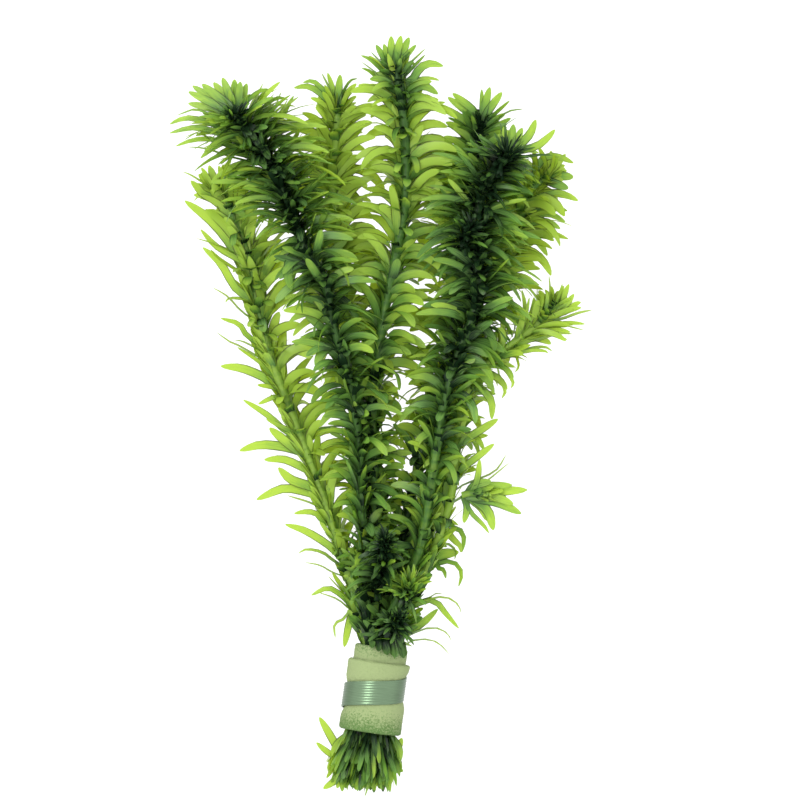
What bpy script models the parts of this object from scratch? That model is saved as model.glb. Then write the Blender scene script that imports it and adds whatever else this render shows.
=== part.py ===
"""Brazilian waterweed: cut shoots with whorled leaves, held in a foam sleeve by a metal band, lying flat."""

import math
from collections import namedtuple

import bmesh
import bpy
import numpy as np
from mathutils import Matrix, Vector
from mathutils.bvhtree import BVHTree

MM = 0.001

# Gap kept between neighbouring pieces
GAP = 0.35 * MM

# Bundle axis: runs along the sleeve and leans to the right, with the sleeve's middle over the origin
AXIS_LEAN = math.radians(8)
FACETS = 20
HALF_FACET = math.pi / FACETS

# Metal band: a strip bent once round the sleeve, one facet flat on the table, its middle below the sleeve's
BAND_RADIUS = 10.3 * MM
BAND_THICKNESS = 0.4 * MM
BAND_WIDTH = 8.0 * MM
BAND_RISE = 9.4 * MM
BAND_SHIFT = -1.65 * MM
BAND_FIRST_FACET = -1.5
AXIS_HEIGHT = BAND_RADIUS * math.cos(HALF_FACET)

# Foam sleeve: pinched under the band, bulging above and below it
FOAM_INNER_RADIUS = 6.9 * MM
FOAM_OUTLINE = [
    (-13.7 * MM, 9.4 * MM),
    (-13.2 * MM, 9.8 * MM),
    (-12.0 * MM, 10.0 * MM),
    (-10.7 * MM, 9.4 * MM),
    (7.4 * MM, 9.4 * MM),
    (9.4 * MM, 10.2 * MM),
    (13.0 * MM, 10.0 * MM),
    (13.7 * MM, 9.4 * MM),
]

# Stems: one in the middle of the sleeve and seven round it, spread at the cut end
CUT_RING = 7.2 * MM
SLEEVE_RING = 4.3 * MM
CUT_FLARE_END = -18.0 * MM
SLEEVE_ENTRY = -13.0 * MM
SLEEVE_EXIT = 14.0 * MM
ROUTE_STEP = 1.0 * MM

# Leaves: five to a whorl, each turned half a step from the whorl below
LEAVES_PER_WHORL = 5
LEAF_STEP = 2 * math.pi / LEAVES_PER_WHORL
WHORL_HEIGHT = 2.0 * MM
LEAF_THICKNESS = 0.8 * MM
LEAF_SIZE_SPREAD = 0.08
LEAF_LEAN_SPREAD = math.radians(5)
TIP_CONE = 2.5 * MM

# Whorls stand close together in the crown and wider apart down the stem
CROWN_SPACING = 5.5 * MM
STEM_SPACING = 14.5 * MM
SPACING_REACH = 88 * MM
PLAIN_SPACING = 13.0 * MM
BARE_ABOVE_SLEEVE = 15.6 * MM
BARE_BELOW_SLEEVE = -17.0 * MM
BARE_END = 4.0 * MM

# Leaf lean, from the stem's direction, at the leaf's base and tip
CROWN_LEAN = (math.radians(6), math.radians(22))
CROWN_REACH = 22 * MM
CROWN_SHARE = 0.5
YOUNG_LEAF_SHARE = 0.62

# Ways to fold, swing or shorten a leaf that would meet its neighbour: bend share, swing, length share
LEAF_OPTIONS = [
    (1.0, 0.0, 1.0),
    (1.0, 0.35, 1.0),
    (1.0, -0.35, 1.0),
    (0.8, 0.0, 0.95),
    (1.25, 0.0, 0.9),
    (0.8, 0.5, 0.85),
    (0.8, -0.5, 0.85),
    (0.6, 0.0, 0.8),
    (1.6, 0.0, 0.7),
    (0.5, 0.3, 0.65),
    (0.5, -0.3, 0.65),
    (1.0, 0.0, 0.5),
    (0.4, 0.0, 0.5),
    (1.4, 0.0, 0.35),
    (0.6, 0.0, 0.3),
]

# A shoot: seat is its angle in the sleeve, or "middle", or None for a side shoot; cut is how far it ends
# below the sleeve's middle; route is (right, up the bunch, above the table) beyond the sleeve, in millimetres
Shoot = namedtuple("Shoot", "name seat cut route leaf width lean stem colour")

BRIGHT = (0.33, 0.56, 0.07, 1.0)
MID = (0.16, 0.36, 0.06, 1.0)
DARK = (0.06, 0.17, 0.05, 1.0)
PALE = (0.22, 0.42, 0.10, 1.0)

SHOOTS = [
    Shoot(
        "shoot_left_rear", 192, 30.0,
        [(-4.4, 22, 8.8), (-6.6, 32, 8.6), (-9.2, 42, 8.8), (-13, 53, 9.2), (-18.7, 70, 9.4),
         (-22.6, 80.5, 9.4), (-27.5, 93, 9.4), (-33.6, 109, 9.2), (-38.5, 127, 9), (-41.6, 144, 8.8),
         (-45.8, 156, 8.6), (-49.2, 163.5, 8.4), (-53, 169.5, 8.2)],
        18.8, 3.7, (34, 98), 1.45, BRIGHT,
    ),
    Shoot(
        "shoot_left_front", 140, 28.8,
        [(-2.4, 26, 15.2), (-3.2, 44, 18), (-4.2, 64, 20.5), (-5, 83, 23), (-6.6, 97, 25),
         (-10.6, 113, 27), (-14, 124, 28), (-16.4, 137, 28.5), (-22.6, 148.5, 29), (-27.4, 160, 29.5),
         (-32, 171.5, 30), (-37, 181, 31.5), (-41.8, 187.5, 34), (-45, 190.6, 38.5),
         (-46, 191.4, 43.5)],
        16.8, 3.7, (36, 88), 1.45, DARK,
    ),
    Shoot(
        "shoot_left_middle", 243, 31.0,
        [(-0.6, 26, 6.6), (-1.2, 44, 7.6), (-2.2, 71, 9), (-4, 96, 9.6), (-7.3, 121, 10.4),
         (-10.2, 134, 11), (-11.8, 146, 11.6), (-12.4, 156, 12.2), (-13.8, 167, 12.8),
         (-13.3, 178, 13.4), (-12.6, 188, 14), (-12, 196.5, 14.6)],
        15.0, 3.5, (38, 118), 1.4, BRIGHT,
    ),
    Shoot(
        "shoot_centre", "middle", 30.6,
        [(1.9, 26, 11.4), (1.3, 44, 13), (0.1, 71, 15.4), (-0.6, 91, 17), (0.3, 104, 17.6),
         (3.0, 124, 18.2), (5.2, 136, 18.4), (8, 149, 18.6), (10.2, 162, 18.8), (10.7, 174, 19),
         (10, 189, 19.4), (8.6, 201, 20), (6.8, 209.6, 20.6)],
        15.2, 3.6, (36, 108), 1.45, MID,
    ),
    Shoot(
        "shoot_right_middle", 293, 29.6,
        [(4.7, 24, 6.4), (7, 36, 7), (10, 52, 8.2), (13.7, 71, 9.6), (18.7, 91, 10.6), (24, 111, 11.4),
         (27.2, 128, 11.8), (29.3, 144, 12), (31.3, 161, 12), (33.2, 174, 12.4), (34.6, 183.5, 13),
         (36.2, 191.5, 13.6)],
        15.2, 3.5, (34, 100), 1.4, MID,
    ),
    Shoot(
        "shoot_right_front", 88, 29.0,
        [(4.4, 23, 16.2), (9, 33, 18.4), (14.6, 46, 20.6), (17.3, 57.7, 22), (19, 68.5, 23),
         (20.7, 81, 24), (22.3, 91, 24.6), (24.5, 101.5, 25.2), (28, 113.5, 25.8), (32.4, 123.5, 26.4),
         (34.8, 133, 27), (34.4, 143, 27.6), (33.6, 152, 28.2), (34.4, 160, 29), (37, 168, 30.4),
         (40.8, 174.6, 33), (43.6, 177.8, 37), (44.4, 178.8, 41.5)],
        16.4, 3.7, (36, 94), 1.5, DARK,
    ),
    Shoot(
        "shoot_right_rear", 344, 28.4,
        [(8.6, 23, 8.4), (12.4, 33, 8.2), (16.6, 45, 8.6), (21.2, 63, 9), (25.3, 84, 9.2),
         (29.7, 101, 9.2), (35.3, 118, 9), (40.7, 134, 9), (44.6, 147, 9), (48, 158, 9),
         (51.6, 166.6, 9), (55.8, 171.6, 9), (59.6, 173.4, 9)],
        16.4, 3.7, (34, 94), 1.45, BRIGHT,
    ),
    Shoot(
        "shoot_right_outer", 36, 27.6,
        [(8.6, 22, 13.6), (12.4, 31, 14.8), (18.2, 44, 16.4), (23.6, 57.5, 17.4), (26.6, 70, 18),
         (27.6, 81, 18.2), (28.4, 90.5, 18.4), (30.4, 99, 18.6), (34.6, 106.5, 19), (40.6, 112, 19.4),
         (47, 117, 19.4), (53, 121.6, 19), (57.4, 126, 18.4), (60.6, 130.4, 17.8)],
        14.2, 2.9, (34, 88), 1.4, MID,
    ),
    Shoot(
        "side_shoot_right", None, 0,
        [(29.4, 66, 18.8), (32.4, 66.6, 19.4), (35, 66.3, 19.8), (38.5, 66, 20)],
        13.0, 3.6, (24, 66), 1.1, BRIGHT,
    ),
    Shoot(
        "side_shoot_crown", None, 0,
        [(30.4, 146, 29.6), (30, 149.5, 32.6), (30.8, 153, 36), (32.4, 156, 39.4)],
        10.5, 2.9, (30, 84), 1.1, DARK,
    ),
    Shoot(
        "side_shoot_rosette", None, 0,
        [(9.4, 28.6, 21.2), (10.6, 31, 24), (11.4, 33.5, 26.4), (11.8, 35.5, 28)],
        10.5, 2.1, (40, 96), 1.1, PALE,
    ),
    Shoot(
        "side_shoot_dark", None, 0,
        [(1.0, 31, 17.8), (1.6, 37.5, 21.4), (2.8, 44.5, 26.6), (3.5, 49, 31.6), (3.5, 51.4, 37)],
        9.5, 2.5, (34, 88), 1.1, DARK,
    ),
    Shoot(
        "side_shoot_low", None, 0,
        [(3.2, 18.6, 18.8), (5, 20.6, 22.4), (7.6, 23.4, 26.6), (9.2, 25.8, 31)],
        8.5, 2.4, (34, 84), 1.1, DARK,
    ),
]

LeafShape = namedtuple("LeafShape", "middle tip")


def bundle_point(along, right, above):
    """Place a point given along the sleeve's axis, to its right and above it."""
    x = along * math.sin(AXIS_LEAN) + right * math.cos(AXIS_LEAN)
    y = along * math.cos(AXIS_LEAN) - right * math.sin(AXIS_LEAN)
    return Vector((x, y, AXIS_HEIGHT + above))


def along_sleeve(point):
    """Distance of a point up the sleeve's axis from the sleeve's middle."""
    return point[0] * math.sin(AXIS_LEAN) + point[1] * math.cos(AXIS_LEAN)


def make_object(name, mesh_edit, colour, roughness, metallic=0.0, smooth=False):
    """Turn a finished bmesh into a named object with its own material."""
    bmesh.ops.triangulate(mesh_edit, faces=mesh_edit.faces)
    bmesh.ops.recalc_face_normals(mesh_edit, faces=mesh_edit.faces)
    mesh = bpy.data.meshes.new(name)
    mesh_edit.to_mesh(mesh)
    mesh_edit.free()
    if smooth:
        mesh.shade_smooth()
        mesh.set_sharp_from_angle(angle=math.radians(35))
    material = bpy.data.materials.new(name + "_surface")
    material.use_nodes = True
    shader = material.node_tree.nodes["Principled BSDF"]
    shader.inputs["Base Color"].default_value = colour
    shader.inputs["Roughness"].default_value = roughness
    shader.inputs["Metallic"].default_value = metallic
    mesh.materials.append(material)
    piece = bpy.data.objects.new(name, mesh)
    bpy.context.scene.collection.objects.link(piece)
    return piece


def build_foam_sleeve():
    """Spin the sleeve's cut outline round its axis."""
    mesh_edit = bmesh.new()
    first = -math.pi / 2 + HALF_FACET
    outline = [(FOAM_OUTLINE[0][0], FOAM_INNER_RADIUS)] + FOAM_OUTLINE
    outline.append((FOAM_OUTLINE[-1][0], FOAM_INNER_RADIUS))
    corners = []
    for along, radius in outline:
        point = bundle_point(along, radius * math.cos(first), radius * math.sin(first))
        corners.append(mesh_edit.verts.new(point))
    edges = [mesh_edit.edges.new((corners[i], corners[i - 1])) for i in range(len(corners))]
    bmesh.ops.spin(
        mesh_edit,
        geom=corners + edges,
        cent=bundle_point(0, 0, 0),
        axis=bundle_point(1, 0, 0) - bundle_point(0, 0, 0),
        angle=2 * math.pi,
        steps=FACETS,
        use_merge=True,
    )
    return make_object("foam_sleeve", mesh_edit, (0.52, 0.62, 0.36, 1.0), 0.95, smooth=True)


def build_metal_band():
    """Sweep the strip's section once round the sleeve, rising as it goes."""
    mesh_edit = bmesh.new()
    start = BAND_FIRST_FACET * 2 * HALF_FACET
    inner = BAND_RADIUS - BAND_THICKNESS
    section = []
    for side, radius in ((-1, inner), (-1, BAND_RADIUS), (1, BAND_RADIUS), (1, inner)):
        along = BAND_SHIFT + (side * BAND_WIDTH - BAND_RISE) / 2
        point = bundle_point(along, radius * math.cos(start), radius * math.sin(start))
        section.append(mesh_edit.verts.new(point))
    face = mesh_edit.faces.new(section)
    direction = (bundle_point(1, 0, 0) - bundle_point(0, 0, 0)).normalized()
    bmesh.ops.spin(
        mesh_edit,
        geom=section + list(face.edges) + [face],
        cent=bundle_point(0, 0, 0),
        axis=direction,
        dvec=direction * (BAND_RISE / FACETS),
        angle=2 * math.pi,
        steps=FACETS,
    )
    return make_object("metal_band", mesh_edit, (0.42, 0.50, 0.45, 1.0), 0.35, metallic=0.9, smooth=True)


def whole_route(shoot):
    """Points of a stem from its cut end to its tip, in metres."""
    points = []
    if shoot.seat is not None:
        turn = 0.0 if shoot.seat == "middle" else math.radians(shoot.seat)
        share = 0.0 if shoot.seat == "middle" else 1.0
        stages = (
            (-shoot.cut * MM, CUT_RING),
            (CUT_FLARE_END, (CUT_RING + SLEEVE_RING) / 2),
            (SLEEVE_ENTRY, SLEEVE_RING),
            (0.0, SLEEVE_RING),
            (SLEEVE_EXIT, SLEEVE_RING),
        )
        for along, ring in stages:
            offset = ring * share
            points.append(bundle_point(along, offset * math.cos(turn), offset * math.sin(turn)))
    points.extend(Vector(point) * MM for point in shoot.route)
    return points


def smooth_curve(points):
    """A smooth curve through the points, read at even steps."""
    ends = [points[0] * 2 - points[1]] + points + [points[-1] * 2 - points[-2]]
    dense = []
    for before, start, end, after in zip(ends, ends[1:], ends[2:], ends[3:]):
        for share in np.linspace(0, 1, 12, endpoint=False):
            square, cube = share * share, share ** 3
            point = 0.5 * (
                2 * start
                + (end - before) * share
                + (2 * before - 5 * start + 4 * end - after) * square
                + (3 * start - before - 3 * end + after) * cube
            )
            dense.append(point)
    dense.append(points[-1])
    dense = np.array(dense)
    lengths = np.concatenate([[0], np.cumsum(np.linalg.norm(np.diff(dense, axis=0), axis=1))])
    stations = np.linspace(0, lengths[-1], max(3, round(lengths[-1] / ROUTE_STEP)))
    return stations, np.column_stack([np.interp(stations, lengths, dense[:, i]) for i in range(3)])


class Stem:
    """A smooth stem centre line with a side direction carried along it without twist."""

    def __init__(self, shoot):
        self.stations, self.points = smooth_curve(whole_route(shoot))
        self.length = self.stations[-1]
        self.tangents = np.gradient(self.points, self.stations, axis=0)
        self.tangents /= np.linalg.norm(self.tangents, axis=1)[:, None]
        side = np.cross(self.tangents[0], (0.3, 0.1, 1.0))
        self.sides = []
        for tangent in self.tangents:
            side = side - tangent * np.dot(side, tangent)
            side = side / np.linalg.norm(side)
            self.sides.append(side)
        self.sides = np.array(self.sides)

    def read(self, table, distance):
        """Interpolate one of the tables at a distance from the cut end."""
        return Vector([np.interp(distance, self.stations, table[:, i]) for i in range(3)])

    def frame_at(self, distance):
        """Centre, direction and two side directions at a distance from the cut end."""
        tangent = self.read(self.tangents, distance).normalized()
        side = self.read(self.sides, distance)
        side = (side - tangent * side.dot(tangent)).normalized()
        return self.read(self.points, distance), tangent, side, tangent.cross(side)


def stem_stations(stem, seated):
    """Rings up the stem, each plain or a whorl, as (distance, is_whorl)."""
    whorls = []
    distance = stem.length - TIP_CONE
    while distance > BARE_END:
        whorls.append(distance)
        share = min(1.0, (stem.length - distance) / SPACING_REACH)
        distance -= CROWN_SPACING + (STEM_SPACING - CROWN_SPACING) * share
    stations = []
    for distance in reversed(whorls):
        height = along_sleeve(stem.read(stem.points, distance))
        bare = seated and BARE_BELOW_SLEEVE < height < BARE_ABOVE_SLEEVE
        stations.append((distance, not bare))
    return stations


def leaf_shape(tangent, radial, base, length, width, lean):
    """Middle section and tip of an arching leaf that starts at the base point."""
    across = tangent.cross(radial).normalized()
    first, last = lean
    rate = (last - first) or 0.001
    spots = []
    for share in (0.5, 1.0):
        angle = first + rate * share
        outward = (math.cos(first) - math.cos(angle)) / rate
        upward = (math.sin(angle) - math.sin(first)) / rate
        spots.append((base + (radial * outward + tangent * upward) * length, angle))
    (middle, angle), (tip, _) = spots
    under = radial * math.cos(angle) - tangent * math.sin(angle)
    section = [middle - across * width / 2, middle + across * width / 2, middle + under * LEAF_THICKNESS]
    return LeafShape(lay_on_table(section), lay_on_table([tip])[0])


def lay_on_table(points):
    """Raise points together until none is below the table."""
    drop = min(0.0, min(point.z for point in points))
    return [point - Vector((0, 0, drop)) for point in points]


def grown(base, shape):
    """Closed test shape of a leaf, larger than the leaf by the gap all round."""
    left, right, under = shape.middle
    centre = (left + right) / 2
    across = (right - left).normalized()
    down = (under - centre).normalized()
    onward = (shape.tip - centre).normalized()
    points = list(base)
    points.append(left - across * GAP - down * GAP)
    points.append(right + across * GAP - down * GAP)
    points.append(under + down * GAP)
    points.append(shape.tip + onward * GAP - across * GAP)
    points.append(shape.tip + onward * GAP + across * GAP)
    points.append(shape.tip + onward * GAP + down * GAP)
    return points


PRISM_SIDES = [(0, 1, 4), (0, 4, 3), (1, 2, 5), (1, 5, 4), (2, 0, 3), (2, 3, 5)]
OUTER_SIDES = [tuple(i + 3 for i in side) for side in PRISM_SIDES] + [(6, 7, 8), (3, 4, 5)]


def is_clear(points, sides, trees):
    """True where the test shape meets none of the trees."""
    test = BVHTree.FromPolygons(points, sides)
    return not any(test.overlap(tree) for tree in trees)


def place_leaf(base_face, tangent, radial, size, lean, others, own_leaves):
    """The first way to grow a leaf that stays clear of the other pieces, or None."""
    corners = [vertex.co.copy() for vertex in base_face]
    start = sum(corners, Vector()) / 3
    length, width = size
    for bend, swing, share in LEAF_OPTIONS:
        direction = Matrix.Rotation(swing, 3, tangent) @ radial
        angles = (lean[0] * bend, lean[1] * bend)
        narrowed = width * (0.5 + 0.5 * share)
        shape = leaf_shape(tangent, direction, start, length * share, narrowed, angles)
        test = grown(corners, shape)
        if not is_clear(test, PRISM_SIDES + OUTER_SIDES, others):
            continue
        if own_leaves and not is_clear(test, OUTER_SIDES, own_leaves):
            continue
        return shape
    return None


def add_ring(mesh_edit, frame, radius, turn):
    """A ring of stem corners."""
    centre, _, side, other = frame
    ring = []
    for i in range(LEAVES_PER_WHORL):
        angle = turn + i * LEAF_STEP
        ring.append(mesh_edit.verts.new(centre + (side * math.cos(angle) + other * math.sin(angle)) * radius))
    return ring


def join_rings(mesh_edit, lower, upper):
    """Stem faces between two rings whose corners line up."""
    for i in range(LEAVES_PER_WHORL):
        mesh_edit.faces.new((lower[i - 1], lower[i], upper[i], upper[i - 1]))


def grow_leaf(mesh_edit, face, shape):
    """Draw a leaf out of a stem face: extrude it to the leaf's middle and on to its tip."""
    result = bmesh.ops.extrude_discrete_faces(mesh_edit, faces=[face])
    outer = result["faces"][0]
    for vertex, place in zip(outer.verts, shape.middle):
        vertex.co = place
    tip = bmesh.ops.poke(mesh_edit, faces=[outer])["verts"][0]
    tip.co = shape.tip


def build_shoot(shoot, number, obstacles):
    """A stem with its whorls of leaves, every leaf fused to it and clear of the other pieces."""
    rng = np.random.default_rng(100 + number)
    stem = Stem(shoot)
    mesh_edit = bmesh.new()
    turn = float(rng.uniform(0, LEAF_STEP))
    tip_radius = shoot.stem * 0.75

    upper = add_ring(mesh_edit, stem.frame_at(0), shoot.stem * MM, turn)
    mesh_edit.faces.new(list(reversed(upper)))
    last = 0.0
    own_leaves = []
    crown_reach = min(CROWN_REACH, CROWN_SHARE * stem.length)
    for distance, is_whorl in stem_stations(stem, shoot.seat is not None):
        share = distance / stem.length
        radius = (shoot.stem * (1 - share) + tip_radius * share) * MM
        fill = int((distance - last) / PLAIN_SPACING)
        for i in range(1, fill + 1):
            between = last + (distance - last) * i / (fill + 1)
            plain = add_ring(mesh_edit, stem.frame_at(between), radius, turn)
            join_rings(mesh_edit, upper, plain)
            upper = plain
        last = distance
        if not is_whorl:
            continue
        low_frame = stem.frame_at(distance - WHORL_HEIGHT / 2)
        lower = add_ring(mesh_edit, low_frame, radius, turn)
        join_rings(mesh_edit, upper, lower)
        high_frame = stem.frame_at(distance + WHORL_HEIGHT / 2)
        upper = add_ring(mesh_edit, high_frame, radius, turn - LEAF_STEP / 2)
        crown = min(1.0, (stem.length - distance) / crown_reach)
        new_trees = []
        for i in range(LEAVES_PER_WHORL):
            after = (i + 1) % LEAVES_PER_WHORL
            mesh_edit.faces.new((lower[i], lower[after], upper[after]))
            corners = (upper[i], upper[after], lower[i])
            angle = turn + i * LEAF_STEP
            radial = low_frame[2] * math.cos(angle) + low_frame[3] * math.sin(angle)
            grow = YOUNG_LEAF_SHARE + (1 - YOUNG_LEAF_SHARE) * crown
            length = shoot.leaf * MM * grow * (1 + rng.uniform(-1, 1) * LEAF_SIZE_SPREAD)
            lean = []
            for tight, loose in zip(CROWN_LEAN, shoot.lean):
                wander = rng.uniform(-1, 1) * LEAF_LEAN_SPREAD * crown
                lean.append(tight + (math.radians(loose) - tight) * crown + wander)
            size = (length, shoot.width * MM * grow)
            shape = place_leaf(corners, high_frame[1], radial, size, lean, obstacles, own_leaves)
            face = mesh_edit.faces.new((upper[after], upper[i], lower[i]))
            if shape is None:
                continue
            left, right, under = shape.middle
            new_trees.append(BVHTree.FromPolygons(grown([v.co for v in corners], shape), OUTER_SIDES))
            grow_leaf(mesh_edit, face, LeafShape((right, left, under), shape.tip))
        own_leaves.extend(new_trees)
        turn -= LEAF_STEP / 2
    apex = mesh_edit.verts.new(stem.points[-1])
    for i in range(LEAVES_PER_WHORL):
        mesh_edit.faces.new((upper[i - 1], upper[i], apex))
    return make_object(shoot.name, mesh_edit, shoot.colour, 0.4)


def bare_stem_tree(shoot):
    """Obstacle shape of a stem alone, the gap larger all round."""
    stem = Stem(shoot)
    mesh_edit = bmesh.new()
    radius = shoot.stem * MM / math.cos(LEAF_STEP / 2) + GAP
    last = None
    for distance in np.arange(0, stem.length, 4 * MM):
        ring = add_ring(mesh_edit, stem.frame_at(float(distance)), radius, 0.0)
        if last:
            join_rings(mesh_edit, last, ring)
        last = ring
    tree = BVHTree.FromBMesh(mesh_edit)
    mesh_edit.free()
    return tree


def object_tree(piece):
    """Obstacle shape of a finished piece."""
    corners = [vertex.co for vertex in piece.data.vertices]
    return BVHTree.FromPolygons(corners, [tuple(face.vertices) for face in piece.data.polygons])


def stand_on_origin(pieces):
    """Shift every piece so that the bunch's box is centred on the origin."""
    corners = np.array([vertex.co for piece in pieces for vertex in piece.data.vertices])
    low, high = corners.min(axis=0), corners.max(axis=0)
    shift = Matrix.Translation((-(low[0] + high[0]) / 2, -(low[1] + high[1]) / 2, -low[2]))
    for piece in pieces:
        piece.data.transform(shift)


def main():
    """Build the whole bunch."""
    for leftover in list(bpy.data.objects):
        bpy.data.objects.remove(leftover)
    sleeve = build_foam_sleeve()
    band = build_metal_band()
    trees = {shoot.name: bare_stem_tree(shoot) for shoot in SHOOTS}
    fixed = [object_tree(sleeve), object_tree(band)]
    pieces = [sleeve, band]
    for number, shoot in enumerate(SHOOTS):
        obstacles = fixed + [tree for name, tree in trees.items() if name != shoot.name]
        piece = build_shoot(shoot, number, obstacles)
        trees[shoot.name] = object_tree(piece)
        pieces.append(piece)
    stand_on_origin(pieces)


main()
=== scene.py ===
"""Looks of a brazilian waterweed bunch: leafy shoots in a foam sleeve with a ribbed metal strip, lying flat.

The file is laid out as a Blender add-on. Run as a script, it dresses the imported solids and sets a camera
above them.
"""

import math
from collections import namedtuple

import bpy
import numpy as np
from mathutils import Matrix, Vector


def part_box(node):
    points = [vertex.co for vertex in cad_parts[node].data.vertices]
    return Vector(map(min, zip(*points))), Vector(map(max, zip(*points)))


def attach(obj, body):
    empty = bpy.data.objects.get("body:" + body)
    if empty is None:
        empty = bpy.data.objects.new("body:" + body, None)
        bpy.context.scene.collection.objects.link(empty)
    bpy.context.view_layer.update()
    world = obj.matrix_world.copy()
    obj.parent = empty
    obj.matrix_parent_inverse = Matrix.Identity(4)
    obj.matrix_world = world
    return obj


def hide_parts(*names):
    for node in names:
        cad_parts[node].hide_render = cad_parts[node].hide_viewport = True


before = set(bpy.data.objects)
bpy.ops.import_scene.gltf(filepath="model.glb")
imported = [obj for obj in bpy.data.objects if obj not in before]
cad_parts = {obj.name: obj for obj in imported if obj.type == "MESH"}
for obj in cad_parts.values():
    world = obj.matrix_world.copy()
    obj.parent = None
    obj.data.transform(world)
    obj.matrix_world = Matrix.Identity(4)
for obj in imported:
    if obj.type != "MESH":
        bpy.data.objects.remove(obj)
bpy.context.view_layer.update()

bl_info = {
    "name": "Brazilian Waterweed Bunch",
    "version": (1, 0, 0),
    "blender": (4, 5, 0),
    "location": "3D View > Sidebar > Waterweed",
    "description": "Dresses a bunch of brazilian waterweed in a foam sleeve with a metal strip",
    "category": "Object",
}

MM = 0.001

# The bundle's origin on the table, under the middle of the sleeve
SLEEVE_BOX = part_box("foam_sleeve")
BUNDLE_X = (SLEEVE_BOX[0].x + SLEEVE_BOX[1].x) / 2
BUNDLE_Y = (SLEEVE_BOX[0].y + SLEEVE_BOX[1].y) / 2

# Bundle axis: runs along the sleeve and leans to the right. The solid strip has 20 facets and lies on one
AXIS_LEAN = math.radians(8)
BAND_RADIUS = 10.3 * MM
HALF_FACET = math.pi / 20
AXIS_HEIGHT = BAND_RADIUS * math.cos(HALF_FACET)

# Metal strip: bent once round the foam from a start low on the right, rising as it goes. Its middle lies a
# little below the sleeve's
BAND_START = math.radians(27)
BAND_RISE = 9.4 * MM
BAND_SHIFT = -1.65 * MM
BAND_STEPS = 120
STEPS_PER_RIDGE = 4
BAND_SHARP_EDGE = math.radians(50)

# The foam roll begins and ends underneath. In its middle it steps down, over a share of the sheet's length,
# so that its inner turn stands out at the top. The grid counts faces along and across the flat sheet
FOAM_INNER_RADIUS = 6.6 * MM
FOAM_START = math.radians(-100)
FOAM_STEP = 5.1 * MM
FOAM_STEP_START = 0.42
FOAM_STEP_LENGTH = 0.16
FOAM_MIDDLE = -1.55 * MM
FOAM_EDGE = 0.8 * MM
FOAM_GRID = (330, 78)
FOAM_LOWEST = 0.02 * MM

# The strip pinches the foam: share of the wall taken up, reach to each side of the strip's middle, and share
# of a turn over which the pinch fades past the strip's ends
FOAM_PINCH = 0.32
FOAM_PINCH_REACH = 5.2 * MM
FOAM_PINCH_FADE = 0.06

# Plant juice stains the foam's pores toward both ends, away from a clean place a little above its middle. The
# stain adds to the pores' noise, and the last pair is where that begins to show and is full
FOAM_CLEAN = 3.0 * MM
FOAM_STAIN_FROM = 7.0 * MM
FOAM_STAIN_TO = 17.0 * MM
FOAM_STAIN = 0.39
FOAM_STAIN_GRAIN = 0.6 * MM
FOAM_STAIN_SHOWS = (0.6, 0.85)

# Stems: one in the middle of the sleeve and seven round it, spread at the cut end
CUT_RING = 7.2 * MM
SLEEVE_RING = 4.3 * MM
CUT_FLARE_END = -18.0 * MM
SLEEVE_ENTRY = -13.0 * MM
SLEEVE_EXIT = 14.0 * MM
ROUTE_STEP = 1.0 * MM
CURVE_SAMPLES = 12
SIDE_HINT = (0.3, 0.1, 1.0)

# A stem tapers a little and ends in a point. It swells where a whorl grows, and gets painted shade there
# from the whorl's leaves
STEM_STEP = 0.8 * MM
STEM_TAPER = 0.88
STEM_POINT = 5.0 * MM
STEM_POINT_SHARE = 0.1
NODE_SWELL = 0.16
NODE_REACH = 1.1 * MM
NODE_SHADE = 0.4

# Crowded whorls shade their stem: share of its brightness by the gap between the whorls in millimetres
STEM_SHADE_GAPS = (0.6, 2.6)
STEM_SHADES = (0.25, 1.0)

# Each shoot has its own random draws, seeded from this number on
FIRST_SEED = 500

# First whorl below the tip, spread of the gaps, and the stretch of each stem without leaves: along the
# sleeve's axis, and at the cut
WHORL_START = 0.8 * MM
GAP_SPREAD = 0.3
BARE_ABOVE_SLEEVE = 13.0 * MM
BARE_BELOW_SLEEVE = -6.0 * MM
BARE_END = 3.0 * MM

# Young leaves near the tip are shorter and stand close to the stem, and whorls have more leaves there.
# Distances from the tip in millimetres, leans at a leaf's root, shoulder and tip in degrees
YOUNG_PLACES = (0, 4, 9, 18)
YOUNG_LENGTHS = (0.5, 0.7, 0.88, 1.0)
YOUNG_LEANS = (0.1, 0.5, 0.85, 1.0)
YOUNG_WIDTH_LOSS = 0.5
CROWN_REACH = 48
BUD_LEAN = (5.0, 14.0, 26.0)
BUD_PLACES = (0.0, 2.4, 4.4)
OPEN_ROOT_LEAN = 20.0

# Leaves that point up over the dense middle of a shoot get painted shade for the crowded leaves under them,
# and those that fall back over their own stem from a tip that turns up get painted shade and are shorter as
# well
CORE_SHADE = 0.3
BACK_REACH = 22.0 * MM
BACK_SHADE = 0.55
BACK_LENGTH = 0.6

# Whorls are crowded below the first gap in millimetres and open above the second. Crowded whorls keep more
# leaves over their stem, short ones that arch up and back, and their other leaves lie level across the bunch
CROWDED_GAPS = (1.0, 3.0)
OVER_FACING = 0.6
OVER_LEAN = (30.0, 72.0, 104.0)
OVER_LENGTH = 0.42
# Leaves held over a crowded stem get this much more painted shade
OVER_SHADE = 0.22
OVER_SHARES = (0.8, 0.3)
LEVELLING = 0.75

# The sleeve gathers the leaves: share of the free lean and of the free brightness, by height above the
# sleeve's middle in millimetres. The brightness share is painted shade where gathered leaves and stems crowd
GATHER_PLACES = (-26, -14, 12, 26, 50, 76, 110)
GATHER_LEANS = (0.2, 0.2, 0.2, 0.28, 0.46, 0.75, 1.0)
GATHER_SHADES = (0.75, 0.85, 0.7, 0.76, 0.9, 1.0, 1.0)

# The sleeve also disturbs them: how many times the free spread of leans, by the same height
DISORDER_PLACES = (20, 72, 125)
DISORDER = (2.5, 1.9, 1.0)

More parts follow.
